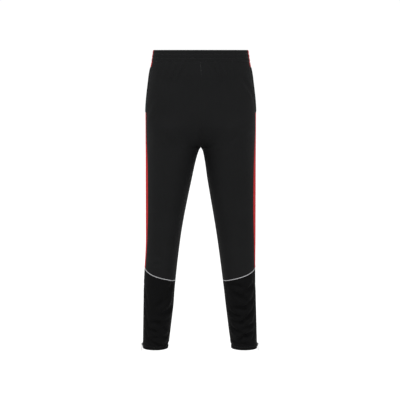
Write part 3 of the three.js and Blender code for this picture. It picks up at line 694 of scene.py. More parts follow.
@dataclass
class Leaf:
    """A sheet with two faces, given as two grids of points of the same shape.

    Attributes:
        outer: The points of the face that is seen, as rows, columns and 3.
        inner: The points of the other face.
        uv: The place of each point on the flat cloth, in metres.
        worn: How worn each point is.
        turned: True if rows and columns turn the other way round, as on the right side.
        ring: True if the last column joins the first.
    """

    outer: Array
    inner: Array
    uv: Array
    worn: Array
    turned: bool = False
    ring: bool = False

    def build(self, name: str, sharp: float = 48) -> bpy.types.Object:
        """Makes the sheet one closed body.

        Args:
            name: The piece's name.
            sharp: The angle in degrees over which an edge is sharp.

        Returns:
            The object.
        """
        rows, cols = self.outer.shape[:2]
        n = rows * cols
        i = np.arange(n).reshape(rows, cols)
        if self.ring:
            i = np.concatenate([i, i[:, :1]], axis=1)
        face = np.stack([i[:-1, :-1], i[1:, :-1], i[1:, 1:], i[:-1, 1:]], 2).reshape(-1, 4)
        loops = [i[0], i[-1, ::-1]]
        if not self.ring:
            loops += [i[:, -1], i[::-1, 0]]
        rims = [np.stack([a[:-1], a[1:], a[1:] + n, a[:-1] + n], 1) for a in loops]
        quads = np.concatenate([face, face[:, ::-1] + n, *rims])
        if self.turned:
            quads = quads[:, ::-1]
        points = np.concatenate([self.outer.reshape(-1, 3), self.inner.reshape(-1, 3)])
        uv = np.tile(self.uv.reshape(-1, 2), (2, 1))
        worn = np.tile(self.worn.ravel(), 2)
        return add_object(name, points, [quads], uv, worn, sharp)


def tube(name: str, line: Array, out: Array, radius: float, sides: int = 6) -> bpy.types.Object:
    """A round tube along a line.

    Args:
        name: The piece's name.
        line: The points of its middle.
        out: A direction across the line at each point.
        radius: The tube's radius.
        sides: How many sides it has.

    Returns:
        The object.
    """
    along = np.gradient(line, axis=0)
    along /= np.linalg.norm(along, axis=1, keepdims=True)
    out = out - along * np.sum(out * along, axis=1, keepdims=True)
    out /= np.linalg.norm(out, axis=1, keepdims=True)
    beside = np.cross(along, out)
    a = 2 * np.pi * np.arange(sides) / sides
    ring = out[:, None] * np.cos(a)[None, :, None] + beside[:, None] * np.sin(a)[None, :, None]
    points = line[:, None] + radius * ring
    i = np.arange(len(line) * sides).reshape(len(line), sides)
    i = np.concatenate([i, i[:, :1]], axis=1)
    quads = np.stack([i[:-1, :-1], i[:-1, 1:], i[1:, 1:], i[1:, :-1]], 2).reshape(-1, 4)
    ends = np.stack([i[0, :-1][::-1], i[-1, :-1]])
    count = len(points) * sides
    flat = points.reshape(-1, 3)
    return add_object(name, flat, [quads, ends], flat[:, [1, 2]], np.zeros(count), 60)


@dataclass(frozen=True)
class Thread:
    """Sewing thread, laid as a row of single stitches.

    Attributes:
        length: A stitch's length.
        pitch: The way from one stitch to the next.
        radius: The thread's radius.
    """

    length: float = 2.7 * MM
    pitch: float = 3.3 * MM
    radius: float = 0.24 * MM

    def rows(self, name: str, lines: list[tuple[Array, Array]]) -> bpy.types.Object:
        """Sews along lines on the cloth.

        Args:
            name: The piece's name.
            lines: For each row its points, close together, and the outward normals there.

        Returns:
            One object that holds every stitch.
        """
        middle, along, out = [], [], []
        for points, normals in lines:
            way = np.concatenate([[0], np.cumsum(np.linalg.norm(np.diff(points, axis=0), axis=1))])
            at = np.arange(self.pitch / 2, way[-1], self.pitch)

            def read(values: Array, where: Array, way: Array = way) -> Array:
                """The values at places along the row."""
                return np.stack([np.interp(where, way, values[:, k]) for k in range(3)], 1)

            middle.append(read(points, at))
            along.append(read(points, at + self.length / 2) - read(points, at - self.length / 2))
            out.append(read(normals, at))
        m, t, n = (np.concatenate(v) for v in (middle, along, out))
        t = t / np.maximum(np.linalg.norm(t, axis=1, keepdims=True), 1e-9)
        n = n - t * np.sum(n * t, axis=1, keepdims=True)
        n /= np.linalg.norm(n, axis=1, keepdims=True)
        b = np.cross(t, n)
        place = np.array([-1.0, -0.86, -0.45, 0.0, 0.45, 0.86, 1.0])
        girth = np.array([0.35, 0.8, 1.0, 1.05, 1.0, 0.8, 0.35]) * self.radius
        rise = self.radius * (0.55 - 0.9 * place**4)
        sides = 6
        a = 2 * np.pi * np.arange(sides) / sides
        core = m[:, None] + t[:, None] * (place * self.length / 2)[None, :, None]
        core = core + n[:, None] * rise[None, :, None]
        ring = n[:, None] * np.cos(a)[None, :, None] + b[:, None] * np.sin(a)[None, :, None]
        points = core[:, :, None] + ring[:, None] * girth[None, :, None, None]
        rings = len(place)
        i = np.arange(points.shape[0] * rings * sides).reshape(-1, rings, sides)
        i = np.concatenate([i, i[:, :, :1]], axis=2)
        quads = np.stack([i[:, :-1, :-1], i[:, 1:, :-1], i[:, 1:, 1:], i[:, :-1, 1:]], 3).reshape(-1, 4)
        ends = np.concatenate([i[:, 0, :-1], i[:, -1, :-1][:, ::-1]])
        flat = points.reshape(-1, 3)
        uv = np.stack([flat[:, 0] + flat[:, 1], flat[:, 2]], 1)
        return add_object(name, flat, [quads, ends], uv, np.zeros(len(flat)), 60)


# ------------------------------------------------------------------ finishes
Colour = tuple[float, float, float]


class Recipe:
    """A material's nodes, with short calls that add one and join it up."""

    def __init__(self, name: str) -> None:
        """Starts a material whose shader is the principled one.

        Args:
            name: The material's name.
        """
        self.material = bpy.data.materials.new(name)
        self.material.use_nodes = True
        self.tree = self.material.node_tree
        self.shader = self.tree.nodes["Principled BSDF"]

    def join(self, socket: bpy.types.NodeSocket, value: object) -> None:
        """Links a socket to another, or sets it to a number, a colour or a vector.

        Args:
            socket: The input.
            value: What it gets.
        """
        if isinstance(value, bpy.types.NodeSocket):
            self.tree.links.new(value, socket)
        elif isinstance(value, tuple) and len(value) == 3 and socket.type == "RGBA":
            socket.default_value = (*value, 1)
        else:
            socket.default_value = value

    def add(self, kind: str, inputs: dict[str | int, object], **options: object) -> bpy.types.NodeSocket:
        """Adds a node.

        Args:
            kind: The node's type, without its first part.
            inputs: Values or sockets for its inputs, by name or number.
            options: Its other settings.

        Returns:
            Its first output.
        """
        node = self.tree.nodes.new("ShaderNode" + kind)
        for key, value in options.items():
            setattr(node, key, value)
        for key, value in inputs.items():
            self.join(node.inputs[key], value)
        return node.outputs[0]

    def maths(self, operation: str, *values: object) -> bpy.types.NodeSocket:
        """A Math node's result."""
        return self.add("Math", dict(enumerate(values)), operation=operation)

    def wave(self, place: bpy.types.NodeSocket, period: float) -> bpy.types.NodeSocket:
        """The sine of a place, with a wave in each period."""
        return self.maths("SINE", self.maths("MULTIPLY", place, 2 * math.pi / period))

    def flat_place(self) -> tuple[bpy.types.NodeSocket, bpy.types.NodeSocket]:
        """The two coordinates on the flat cloth, in metres.

        Returns:
            The sockets of the two.
        """
        uv = self.add("UVMap", {}, uv_map="cloth")
        node = self.tree.nodes.new("ShaderNodeSeparateXYZ")
        self.join(node.inputs[0], uv)
        return node.outputs[0], node.outputs[1]

    def noise(self, scale: float, detail: float = 4.0, soft: float = 0.5) -> bpy.types.NodeSocket:
        """Noise in the object's own space, with features about 1 / scale metres across.

        Args:
            scale: How fine it is.
            detail: How many octaves it has.
            soft: How strong the finer ones are.

        Returns:
            The noise's socket.
        """
        node = self.tree.nodes.new("ShaderNodeTexCoord")
        where = node.outputs["Object"]
        return self.add("TexNoise", {"Vector": where, "Scale": scale, "Detail": detail, "Roughness": soft})

    def between(self, share: object, low: object, high: object) -> bpy.types.NodeSocket:
        """A colour between two, by a share.

        Args:
            share: The share, 0 for the first colour.
            low: The first colour.
            high: The second.

        Returns:
            The colour's socket.
        """
        node = self.tree.nodes.new("ShaderNodeMix")
        node.data_type = "RGBA"
        self.join(node.inputs["Factor"], share)
        self.join(node.inputs["A"], low)
        self.join(node.inputs["B"], high)
        return node.outputs["Result"]

    def ramp(self, value: object, low: float, high: float, to: tuple[float, float]) -> bpy.types.NodeSocket:
        """A value carried from one range to another."""
        return self.add("MapRange", {0: value, 1: low, 2: high, 3: to[0], 4: to[1]})

    def relief(self, height: bpy.types.NodeSocket, depth: float, strength: float) -> None:
        """Raises the surface by a height map."""
        normal = self.add("Bump", {"Height": height, "Distance": depth, "Strength": strength})
        self.join(self.shader.inputs["Normal"], normal)

    def worn(self) -> bpy.types.NodeSocket:
        """How worn the surface is.

        Returns:
            The attribute's socket.
        """
        node = self.tree.nodes.new("ShaderNodeAttribute")
        node.attribute_name = "worn"
        return node.outputs["Fac"]

    def finish(self, **values: object) -> bpy.types.Material:
        """Sets the shader's own sockets, named with _ for a space, and gives the material.

        Args:
            values: Values or sockets by name.

        Returns:
            The material.
        """
        for key, value in values.items():
            self.join(self.shader.inputs[key.replace("_", " ")], value)
        return self.material


def shade(colour: Colour, by: float, lift: float = 0.0) -> Colour:
    """A colour made lighter or darker."""
    return tuple(min(1.0, c * by + lift) for c in colour)


@dataclass(frozen=True)
class Knit:
    """Fine knitted cloth: rows of small loops with painted shade in the hollows between them, a faint heather
    and paler worn edges.

    Attributes:
        name: The finish's name.
        colour: Its colour.
        wale: The width of a column of loops.
        course: The height of a loop.
        depth: How deep the loops are.
        fade: How much lighter the worn places are.
        sheen: The strength of the fuzz's sheen.
        roughness: The shader's roughness.
        gloss: The shader's specular level.
    """

    name: str
    colour: Colour
    wale: float = 0.95 * MM
    course: float = 0.8 * MM
    depth: float = 0.16 * MM
    fade: float = 1.7
    sheen: float = 0.015
    roughness: float = 0.72
    gloss: float = 0.08

    def make(self) -> bpy.types.Material:
        """Builds the material.

        Returns:
            The material.
        """
        r = Recipe(self.name)
        u, v = r.flat_place()
        column = r.maths("ABSOLUTE", r.wave(u, 2 * self.wale))
        bent = r.maths("ADD", v, r.maths("MULTIPLY", column, 0.4 * self.course))
        loop = r.wave(bent, self.course)
        knit = r.maths("ADD", r.maths("MULTIPLY", column, 0.6), r.maths("MULTIPLY", loop, 0.4))
        cockle = r.maths("MULTIPLY", r.noise(160, 3), 0.9)
        r.relief(r.maths("ADD", knit, cockle), self.depth, 0.55)
        broad = r.ramp(r.noise(9, 5, 0.6), 0.3, 0.7, (0.0, 1.0))
        fine = r.ramp(r.noise(900, 2), 0.35, 0.75, (0.0, 0.5))
        cloth = r.between(broad, shade(self.colour, 0.86), shade(self.colour, 1.14))
        cloth = r.between(fine, cloth, shade(self.colour, 1.4, 0.002))
        # painted shade: the hollows between the knit's loops are darkened
        valley = r.ramp(knit, -0.2, 0.9, (0.55, 0.0))
        cloth = r.between(valley, cloth, shade(self.colour, 0.45))
        faded = r.maths("MULTIPLY", r.worn(), r.ramp(r.noise(240, 4), 0.35, 0.65, (0.25, 1.0)))
        cloth = r.between(faded, cloth, shade(self.colour, self.fade, 0.006))
        return r.finish(
            Base_Color=cloth, Roughness=self.roughness, Specular_IOR_Level=self.gloss,
            Sheen_Weight=self.sheen, Sheen_Roughness=0.45, Sheen_Tint=(*shade(self.colour, 6, 0.25), 1),
        )


@dataclass(frozen=True)
class Woven:
    """Plain woven tape or ribbon: threads over and under each other, with painted shade on the lower threads
    and painted highlight on the raised ones.

    Attributes:
        name: The finish's name.
        colour: Its colour.
        thread: The width of a thread.
        depth: How deep the weave is.
        roughness: The shader's roughness.
        sheen: The strength of its sheen.
    """

    name: str
    colour: Colour
    thread: float = 0.45 * MM
    depth: float = 0.1 * MM
    roughness: float = 0.6
    sheen: float = 0.1

    def make(self) -> bpy.types.Material:
        """Builds the material.

        Returns:
            The material.
        """
        r = Recipe(self.name)
        u, v = r.flat_place()
        weave = r.maths("MULTIPLY", r.wave(u, 2 * self.thread), r.wave(v, 2 * self.thread))
        weave = r.maths("ADD", weave, r.maths("MULTIPLY", r.noise(500, 3), 0.7))
        r.relief(weave, self.depth, 0.6)
        # painted shade and painted highlight: the weave's lower threads are darkened and its raised threads
        # lightened
        weave_shade_and_highlight = r.ramp(weave, -0.8, 1.2, (0.0, 1.0))
        cloth = r.between(weave_shade_and_highlight, shade(self.colour, 0.6), shade(self.colour, 1.2, 0.003))
        cloth = r.between(r.ramp(r.noise(30, 5), 0.35, 0.7, (0, 0.35)), cloth, shade(self.colour, 0.7))
        cloth = r.between(r.maths("MULTIPLY", r.worn(), 0.6), cloth, shade(self.colour, 1.5, 0.01))
        return r.finish(
            Base_Color=cloth, Roughness=self.roughness, Specular_IOR_Level=0.35,
            Sheen_Weight=self.sheen, Sheen_Roughness=0.4,
        )


@dataclass(frozen=True)
class Net:
    """Warp-knitted pocket mesh: a net of small round holes in smooth yarn, the holes painted dark as painted
    shade.

    Attributes:
        name: The finish's name.
        colour: The yarn's colour.
        cell: The width of one hole with its yarn.
    """

    name: str
    colour: Colour
    cell: float = 2.2 * MM

    def make(self) -> bpy.types.Material:
        """Builds the material.

        Returns:
            The material.
        """
        r = Recipe(self.name)
        u, v = r.flat_place()
        net = r.maths("MULTIPLY", r.wave(u, 2 * self.cell), r.wave(v, 2 * self.cell))
        yarn = r.ramp(r.maths("ABSOLUTE", net), 0.15, 0.75, (1.0, 0.0))
        r.relief(r.maths("ADD", yarn, r.maths("MULTIPLY", r.noise(700, 3), 0.3)), 0.25 * MM, 0.8)
        # painted shade: the holes between the yarn are painted dark
        cloth = r.between(yarn, shade(self.colour, 0.25), self.colour)
        cloth = r.between(r.ramp(r.noise(40, 4), 0.4, 0.7, (0, 0.4)), cloth, shade(self.colour, 0.7))
        return r.finish(Base_Color=cloth, Roughness=0.7, Specular_IOR_Level=0.3)


@dataclass(frozen=True)
class Moulded:
    """Smooth drawn or cast material with a fine grain: nylon wire or metal.

    Attributes:
        name: The finish's name.
        colour: Its colour.
        metal: 1 for metal, 0 for plastic.
        roughness: Its middle roughness.
        grain: The size of the grain's features.
    """

    name: str
    colour: Colour
    metal: float
    roughness: float
    grain: float = 0.5 * MM

    def make(self) -> bpy.types.Material:
        """Builds the material.

        Returns:
            The material.
        """
        r = Recipe(self.name)
        fine, broad = r.noise(1 / self.grain, 4), r.noise(120, 5, 0.6)
        r.relief(r.maths("ADD", fine, r.maths("MULTIPLY", broad, 0.6)), 0.05 * MM, 0.35)
        scuffed = r.ramp(broad, 0.5, 0.72, (0.0, 1.0))
        skin = r.between(scuffed, shade(self.colour, 0.85), shade(self.colour, 1.35, 0.01))
        rough = r.ramp(fine, 0.3, 0.7, (self.roughness - 0.07, self.roughness + 0.1))
        return r.finish(Base_Color=skin, Roughness=rough, Metallic=self.metal)


class Finishes:
    """Every finish on the garment, each made once."""

    RECIPES = {
        "black": Knit("black_knit", (0.0066, 0.0068, 0.0071)),
        "dark": Knit(
            "dark_knit", (0.0034, 0.0034, 0.0036), wale=0.8 * MM, course=0.7 * MM, sheen=0.008, gloss=0.04
        ),
        "red": Knit("red_knit", (0.46, 0.013, 0.015), fade=1.15, sheen=0.0, depth=0.12 * MM, gloss=0.12),
        "piping": Woven("piping_cord", (0.42, 0.42, 0.43), thread=0.6 * MM),
        "mesh": Net("pocket_mesh", (0.016, 0.016, 0.018)),
        "elastic": Woven("elastic_webbing", (0.62, 0.61, 0.59), thread=0.8 * MM, depth=0.2 * MM),
        "tape": Woven("zip_tape", (0.014, 0.014, 0.015)),
        "coil": Moulded("zip_coil", (0.012, 0.012, 0.013), 0, 0.38),
        "metal": Moulded("dark_metal", (0.014, 0.014, 0.015), 0.25, 0.5),
        "label": Woven("satin_label", (0.78, 0.77, 0.74), thread=0.3 * MM, roughness=0.42, sheen=0.2),
        "thread": Woven("black_thread", (0.010, 0.010, 0.011), thread=0.2 * MM, roughness=0.5),
        "red_thread": Woven("red_thread", (0.42, 0.014, 0.016), thread=0.2 * MM, roughness=0.5),
    }

    def __init__(self) -> None:
        """Builds the materials."""
        self.made = {key: recipe.make() for key, recipe in self.RECIPES.items()}

    def dress(self, piece: bpy.types.Object, key: str) -> None:
        """Gives a piece a finish.

        Args:
            piece: The piece.
            key: The finish's key.
        """
        if piece.material_slots:
            for slot in piece.material_slots:
                slot.material = self.made[key]
        else:
            piece.data.materials.append(self.made[key])


# ------------------------------------------------------------------ the cut pieces of cloth
Edge = Callable[[Array], Array]
SEAM = 0.02 * MM
FINE = np.array([0.0, 0.7, 1.7, 3.4]) * MM


def spread(low: Array, high: Array, count: int) -> Array:
    """Places from one edge to another, close together near both.

    Args:
        low: The first edge, one value for each line.
        high: The other edge.
        count: How many even places lie between the close ones.

    Returns:
        One row of places for each line.
    """
    low, high = np.asarray(low)[..., None], np.asarray(high)[..., None]
    near = np.minimum(FINE, (high - low) * 0.12 * FINE / FINE[-1])
    first, last = low + near, high - near[..., ::-1]
    t = np.linspace(0, 1, count + 2)[1:-1]
    middle = first[..., -1:] + (last[..., :1] - first[..., -1:]) * t
    return np.concatenate([first, middle, last], axis=-1)


@dataclass
class Cloth:
    """Cuts sheets out of the settled surface and dresses them.

    Attributes:
        drape: The settled surface.
        finishes: The finishes.
    """

    drape: Drape
    finishes: Finishes

    def front(self, side: Side, drop: Array) -> Array:
        """The run of the front panel's inner edge: the centre seam, then the inseam."""
        return -(self.drape.forms[side].lengths(drop)[0] - self.forward(drop))

    def back(self, side: Side, drop: Array) -> Array:
        """The run of the back panel's inner edge."""
        return self.drape.forms[side].lengths(drop)[1] + self.forward(drop)

    @staticmethod
    def forward(drop: Array) -> Array:
        """How far the inseam lies forward of the leg's inner line."""
        return np.where(drop > RISE, INSEAM_FORWARD(np.maximum(drop, RISE)), 0.0)

    def layer(self, side: Side, run: Array, drop: Array, depth: Array | float) -> Array:
        """Points at a depth under the settled surface, or above it if negative."""
        point, normal = self.drape.frame_at(side, run, drop)
        return point - normal * np.broadcast_to(depth, run.shape)[..., None]

    def line(self, side: Side, run: Array, drop: Array, depth: float) -> tuple[Array, Array]:
        """A row of points for stitches at a depth, with their normals."""
        point, normal = self.drape.frame_at(side, run, drop)
        return point - normal * depth, normal

    def register(self, piece: bpy.types.Object, node: str, finish: str) -> bpy.types.Object:
        """Gives a piece its finish and body, hides its CAD node, and reports it.

        Args:
            piece: The piece.
            node: The CAD node that it stands for, or "" for none.
            finish: The finish's key.

        Returns:
            The piece.
        """
        self.finishes.dress(piece, finish)
        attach(piece, ROOT)
        if node:
            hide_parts(node)
        LOG.info("built %s", piece.name)
        return piece


@dataclass
class Panel:
    """One cut panel of the trousers.

    Attributes:
        name: The CAD node's name without the side.
        finish: The finish's key.
        slot: A material slot's name; not used.
        inner: The run of one edge, by the drop.
        outer: The run of the other edge, by the drop.
        top: The drop of the top edge, by the share of the way round the front.
        bottom: The drop of the bottom edge, likewise.
        rows: How many even lines it has.
        columns: How many even columns it has.
        hem: True if its bottom edge is turned up and sewn.
    """

    name: str
    finish: str
    slot: str
    inner: Callable[[Side, Array], Array]
    outer: Callable[[Side, Array], Array]
    top: Edge
    bottom: Edge
    rows: int
    columns: int
    hem: bool = False

    def build(self, cloth: Cloth, side: Side) -> bpy.types.Object:
        """Makes the panel for one side.

        Args:
            cloth: The settled cloth.
            side: The leg.

        Returns:
            The panel.
        """
        form = cloth.drape.forms[side]
        across = spread(np.zeros(1), np.ones(1), self.columns)[0]
        guess = np.broadcast_to((self.top(0.5) + self.bottom(0.5)) / 2, across.shape)
        for _ in range(2):
            inner, outer = self.inner(side, guess), self.outer(side, guess)
            run = inner + (outer - inner) * across
            share = np.clip(-form.share(run, guess), 0, 1)
            guess = np.broadcast_to(self.bottom(share), across.shape)
        drop = spread(np.broadcast_to(self.top(share), across.shape), guess, self.rows).T
        low, high = self.inner(side, drop), self.outer(side, drop)
        low, high = np.minimum(low, high), np.maximum(low, high)
        run = np.stack([spread(low[:, c], high[:, c], self.columns)[:, c] for c in range(len(across))], 1)
        near = np.minimum(np.minimum(run - low, high - run), drop - drop[:1])
        seams = bump(near, 1.3 * MM)
        pucker = bump(near - 4.5 * MM, 3.5 * MM) * wander(drop / (11 * MM), side.value + 2)
        outer_depth = 0.42 * MM * seams - 0.2 * MM * pucker + 0.05 * MM * wander(run / (23 * MM), drop * 40)
        outer_depth = outer_depth + 0.8 * MM * bump(drop - BAND, 2.4 * MM)
        inner_depth = np.full(run.shape, CLOTH) + 0.1 * MM * seams
        worn = 0.12 * bump(near, 1.1 * MM)
        if self.hem:
            up = HEM - drop
            outer_depth = outer_depth + 0.3 * MM * bump(up - 11 * MM, 1.1 * MM)
            outer_depth = outer_depth - 0.25 * MM * smooth((10 * MM - up) / (3 * MM))
            inner_depth = inner_depth + 1.1 * MM * smooth((12.5 * MM - up) / (1 * MM))
            worn = worn + 0.8 * bump(up, 1.5 * MM)
        leaf = Leaf(
            cloth.layer(side, run, drop, outer_depth), cloth.layer(side, run, drop, inner_depth),
            np.stack([run * side.value, -drop], 2), worn, turned=side is Side.RIGHT,
        )
        node = f"{self.name}_{side.tag}"
        piece = leaf.build(node + ".cloth")
        cloth.register(piece, node, self.finish)
        cut = drop + cloth.drape.slack(drop, cloth.drape.extra[side])
        return piece


def constant(value: float) -> Edge:
    """An edge that lies at the same drop all the way."""
    return lambda share: np.broadcast_to(value, np.shape(share)) + 0.0


PIPING_HALF = 1.1 * MM
OPENING_END = ZIP_TOP - ZIP_STOP


def zip_edge(drop: Array) -> Array:
    """Half of the gap between the cloth's edges over the zip."""
    opened = smooth((drop - (OPENING_END - ZIP_TAPER)) / ZIP_TAPER)
    return SEAM + (ZIP_HALF - SEAM) * opened


def build_panels(cloth: Cloth) -> None:
    """Makes the four panels of each leg.

    Args:
        cloth: The settled cloth.
    """

    def above_piping(share: Array) -> Array:
        """The shell panels' lower edge."""
        return shin_seam(share) - PIPING_HALF - SEAM

    def below_piping(share: Array) -> Array:
        """The shin panel's upper edge."""
        return shin_seam(share) + PIPING_HALF + SEAM

    def stripe_back(side: Side, drop: Array) -> Array:
        """The side panel's rear edge."""
        return np.maximum(STRIPE_BACK(np.minimum(drop, SHIN_SEAM)), 0)

    def back_outer(side: Side, drop: Array) -> Array:
        """The back panel's outer edge: along the side panel, then beside the zip."""
        return np.where(drop < SHIN_SEAM, stripe_back(side, drop) + SEAM, zip_edge(drop))

    panels = [
        Panel(
            "front_panel", "black", "black_knit", lambda s, d: cloth.front(s, d) + SEAM,
            lambda s, d: -STRIPE_FRONT(d) - SEAM, constant(BAND + SEAM), above_piping, 170, 42,
        ),
        Panel(
            "side_panel", "red", "red_knit", lambda s, d: -STRIPE_FRONT(d) + SEAM,
            lambda s, d: stripe_back(s, d) - SEAM * (d < SHIN_SEAM), constant(BAND + SEAM),
            above_piping, 170, 16,
        ),
        Panel(
            "back_panel", "black", "black_knit", back_outer, lambda s, d: cloth.back(s, d) - SEAM,
            constant(BAND + SEAM), constant(HEM), 244, 46, hem=True,
        ),
        Panel(
            "shin_panel", "dark", "dark_knit", lambda s, d: cloth.front(s, d) + SEAM,
            lambda s, d: -zip_edge(d), below_piping, constant(HEM), 84, 38, hem=True,
        ),
    ]
    for panel in panels:
        for side in Side:
            panel.build(cloth, side)


@dataclass
class Piping:
    """The flat cord in the shin seam.

    Attributes:
        proud: How far it stands above the cloth.
        under: How deep it is sewn in.
    """

    proud: float = 0.8 * MM
    under: float = 1.1 * MM

    def build(self, cloth: Cloth, side: Side) -> bpy.types.Object:
        """Makes one side's piping.

        Args:
            cloth: The settled cloth.
            side: The leg.

        Returns:
            The piping.
        """
        share = np.linspace(0.003, 1, 150)
        drop = shin_seam(share)
        end = -cloth.front(side, drop)
        run = -np.minimum(share * cloth.drape.forms[side].lengths(drop)[0], end - SEAM)
        keep = np.append(np.diff(run) < -1e-6, True)
        keep[np.argmin(run) + 1:] = False
        run, drop = run[keep], drop[keep]
        t = np.linspace(-1, 1, 9)
        lines = drop[None, :] + t[:, None] * PIPING_HALF
        runs = np.broadcast_to(run, lines.shape)
        crown = -self.proud * np.sqrt(np.clip(1 - np.abs(t) ** 3.2, 0, 1))
        depth = np.broadcast_to(crown[:, None] + 0.1 * MM, lines.shape)
        leaf = Leaf(
            cloth.layer(side, runs, lines, depth), cloth.layer(side, runs, lines, self.under),
            np.stack([runs * side.value, -lines], 2), 0.3 * bump(np.abs(t) - 1, 0.3)[:, None] + 0 * runs,
            turned=side is Side.LEFT,
        )
        node = f"shin_piping_{side.tag}"
        piece = leaf.build(node + ".cord", 60)
        cloth.register(piece, node, "piping")
        return piece


# ------------------------------------------------------------------ waist
@dataclass
class Waist:
    """The waistband: a casing in four strips over a ring of elastic, with its stitching.

    Attributes:
        thick: The thickness of the whole band.
        wall: The casing's wall.
        stitch_drops: The drops of the topstitch rows.
        dip: How far the top edge dips at the centre of the front.
        fullness: How far the cloth swells or sinks between the rows.
        sunk: How far it sinks at a row or an edge.
        elastic_depth: The elastic's outer and inner face under the surface.
        elastic_drop: The elastic's top and bottom.
        thread: The topstitching's thread.
    """

    thick: float = 5 * MM
    wall: float = 1.1 * MM
    stitch_drops: tuple[float, ...] = (13.5 * MM, 27 * MM)
    dip: float = 1.5 * MM
    fullness: float = 0.5 * MM
    sunk: float = 0.8 * MM
    elastic_depth: tuple[float, float] = (1.5 * MM, 3.5 * MM)
    elastic_drop: tuple[float, float] = (1.9 * MM, 35.5 * MM)
    thread: Thread = field(default_factory=Thread)

    def across(self, cloth: Cloth, path: Path, drop: Array, depth: Array) -> Array:
        """Points on a profile carried along a path round the waist.

        Args:
            cloth: The settled cloth.
            path: The sides and runs that the path goes through.
            drop: The profile's drops.
            depth: The profile's depths under the surface.

        Returns:
            Rows for the profile and columns for the path.
        """
        parts = []
        for side, runs in path:
            lines = np.broadcast_to(np.maximum(drop, 0)[:, None], (len(drop), len(runs)))
            form = cloth.drape.forms[side]
            at_top = form.lengths(0.0)
            front, back = (now / top for now, top in zip(form.lengths(lines), at_top))
            scale = np.where(runs < 0, front, back)
            inset = np.where(np.abs(runs) < 60 * MM, 1.0, scale)
            points, normal = cloth.drape.frame_at(side, runs[None, :] * inset, lines)
            fullness = self.fullness * wander(runs / (9 * MM), side.value + 3)[None, :]
            row = np.minimum.reduce([np.abs(lines - d) for d in (*self.stitch_drops, BAND, 0)])
            gathers = fullness * (1 - bump(row, 3 * MM)) - self.sunk * bump(row, 1.7 * MM)
            centre = self.dip * bump(runs + at_top[0], 3.2 * MM)[None, :] * smooth(1 - lines / (9 * MM))
            visible = (depth < self.thick / 2)[:, None]
            points = points - normal * (depth[:, None] - gathers * visible)[..., None]
            points[..., 2] -= centre
            parts.append(points)
        return np.concatenate(parts, axis=1)

    def profile(self, inset: float) -> tuple[Array, Array]:
        """The casing's profile, from the inside's lower edge over the top to the outside.

        Args:
            inset: How far the line lies inside the casing's outer face.

        Returns:
            The drops and the depths.
        """
        radius = self.thick / 2
        reach = radius - inset
        low = BAND - SEAM
        wall = np.linspace(0, 1, 22)[:-1]
        turn = np.linspace(-90, 90, 11)
        drop_in = low + (radius - low) * wall
        drop_top = radius - reach * np.cos(np.radians(turn))
        depth_top = radius - reach * np.sin(np.radians(turn))
        drops = np.concatenate([drop_in, drop_top, drop_in[::-1]])
        side = np.ones(len(wall))
        depths = np.concatenate([side * (radius + reach), depth_top, side * (radius - reach)])
        return drops, depths

    def build(self, cloth: Cloth) -> None:
        """Makes the strips, the elastic and the stitches.

        Args:
            cloth: The settled cloth.
        """
        ends = {side: cloth.drape.forms[side].lengths(0.0) for side in Side}
        front, back = float(STRIPE_FRONT(0.0)), float(STRIPE_BACK(0.0))
        left, right = Side.LEFT, Side.RIGHT
        step = 2.2 * MM

        def runs(low: float, high: float, end: bool = True) -> Array:
            """Even places between two runs, with or without the last."""
            count = max(8, round(abs(high - low) / step))
            return np.linspace(low, high, count + 1)[: None if end else -1]

        f_left, f_right = float(ends[left][0]), float(ends[right][0])
        b_left, b_right = float(ends[left][1]), float(ends[right][1])
        strips: dict[str, tuple[Path, str, str]] = {
            "waistband_front": (
                [(right, runs(-front - SEAM, -f_right, False)), (left, runs(-f_left, -front - SEAM))],
                "black", "black_knit",
            ),
            "waistband_back": (
                [(left, runs(back + SEAM, b_left)), (right, runs(b_right, back + SEAM)[1:])],
                "black", "black_knit",
            ),
            "waistband_side_left": ([(left, runs(-front + SEAM, back - SEAM))], "red", "red_knit"),
            "waistband_side_right": ([(right, runs(back - SEAM, -front + SEAM))], "red", "red_knit"),
        }
        for name, (path, finish, slot) in strips.items():
            outer = self.across(cloth, path, *self.profile(0.0))
            inner = self.across(cloth, path, *self.profile(self.wall))
            along = np.concatenate([[0], np.cumsum(np.linalg.norm(np.diff(outer[-1], axis=0), axis=1))])
            up = np.concatenate([[0], np.cumsum(np.linalg.norm(np.diff(outer[:, 0], axis=0), axis=1))])
            uv = np.stack(np.meshgrid(along, -up), 2)
            drops = self.profile(0.0)[0]
            worn = 0.4 * bump(drops, 2 * MM)[:, None] + 0.25 * bump(drops - BAND, 1.2 * MM)[:, None]
            piece = Leaf(outer, inner, uv, worn + 0 * uv[..., 0]).build(name + ".casing", 55)
            cloth.register(piece, name, finish)
        left_half = (left, runs(-f_left, b_left, False))
        right_half = (right, runs(b_right, -f_right, False))
        self.build_elastic(cloth, [left_half, right_half])
        self.sew(cloth, strips)

    def build_elastic(self, cloth: Cloth, path: Path) -> bpy.types.Object:
        """Makes the ring of ribbed elastic inside the casing.

        Args:
            cloth: The settled cloth.
            path: The whole way round the waist.

        Returns:
            The elastic.
        """
        (near, far), (top, low) = self.elastic_depth, self.elastic_drop
        drops = np.concatenate([[top + 0.3 * MM], np.linspace(top, low, 62)[1:-1], [low - 0.3 * MM]])
        rib = 0.16 * MM * np.abs(np.sin(np.pi * (drops - top) / (2.2 * MM)))
        outer = self.across(cloth, path, drops, near + 0.3 * MM - rib)
        inner = self.across(cloth, path, drops, far - 0.3 * MM + rib)
        along = np.concatenate([[0], np.cumsum(np.linalg.norm(np.diff(outer[-1], axis=0), axis=1))])
        uv = np.stack(np.meshgrid(along, -drops), 2)
        piece = Leaf(outer, inner, uv, np.zeros(uv.shape[:2]), ring=True).build("waist_elastic.webbing", 50)
        cloth.register(piece, "waist_elastic", "elastic")
        return piece

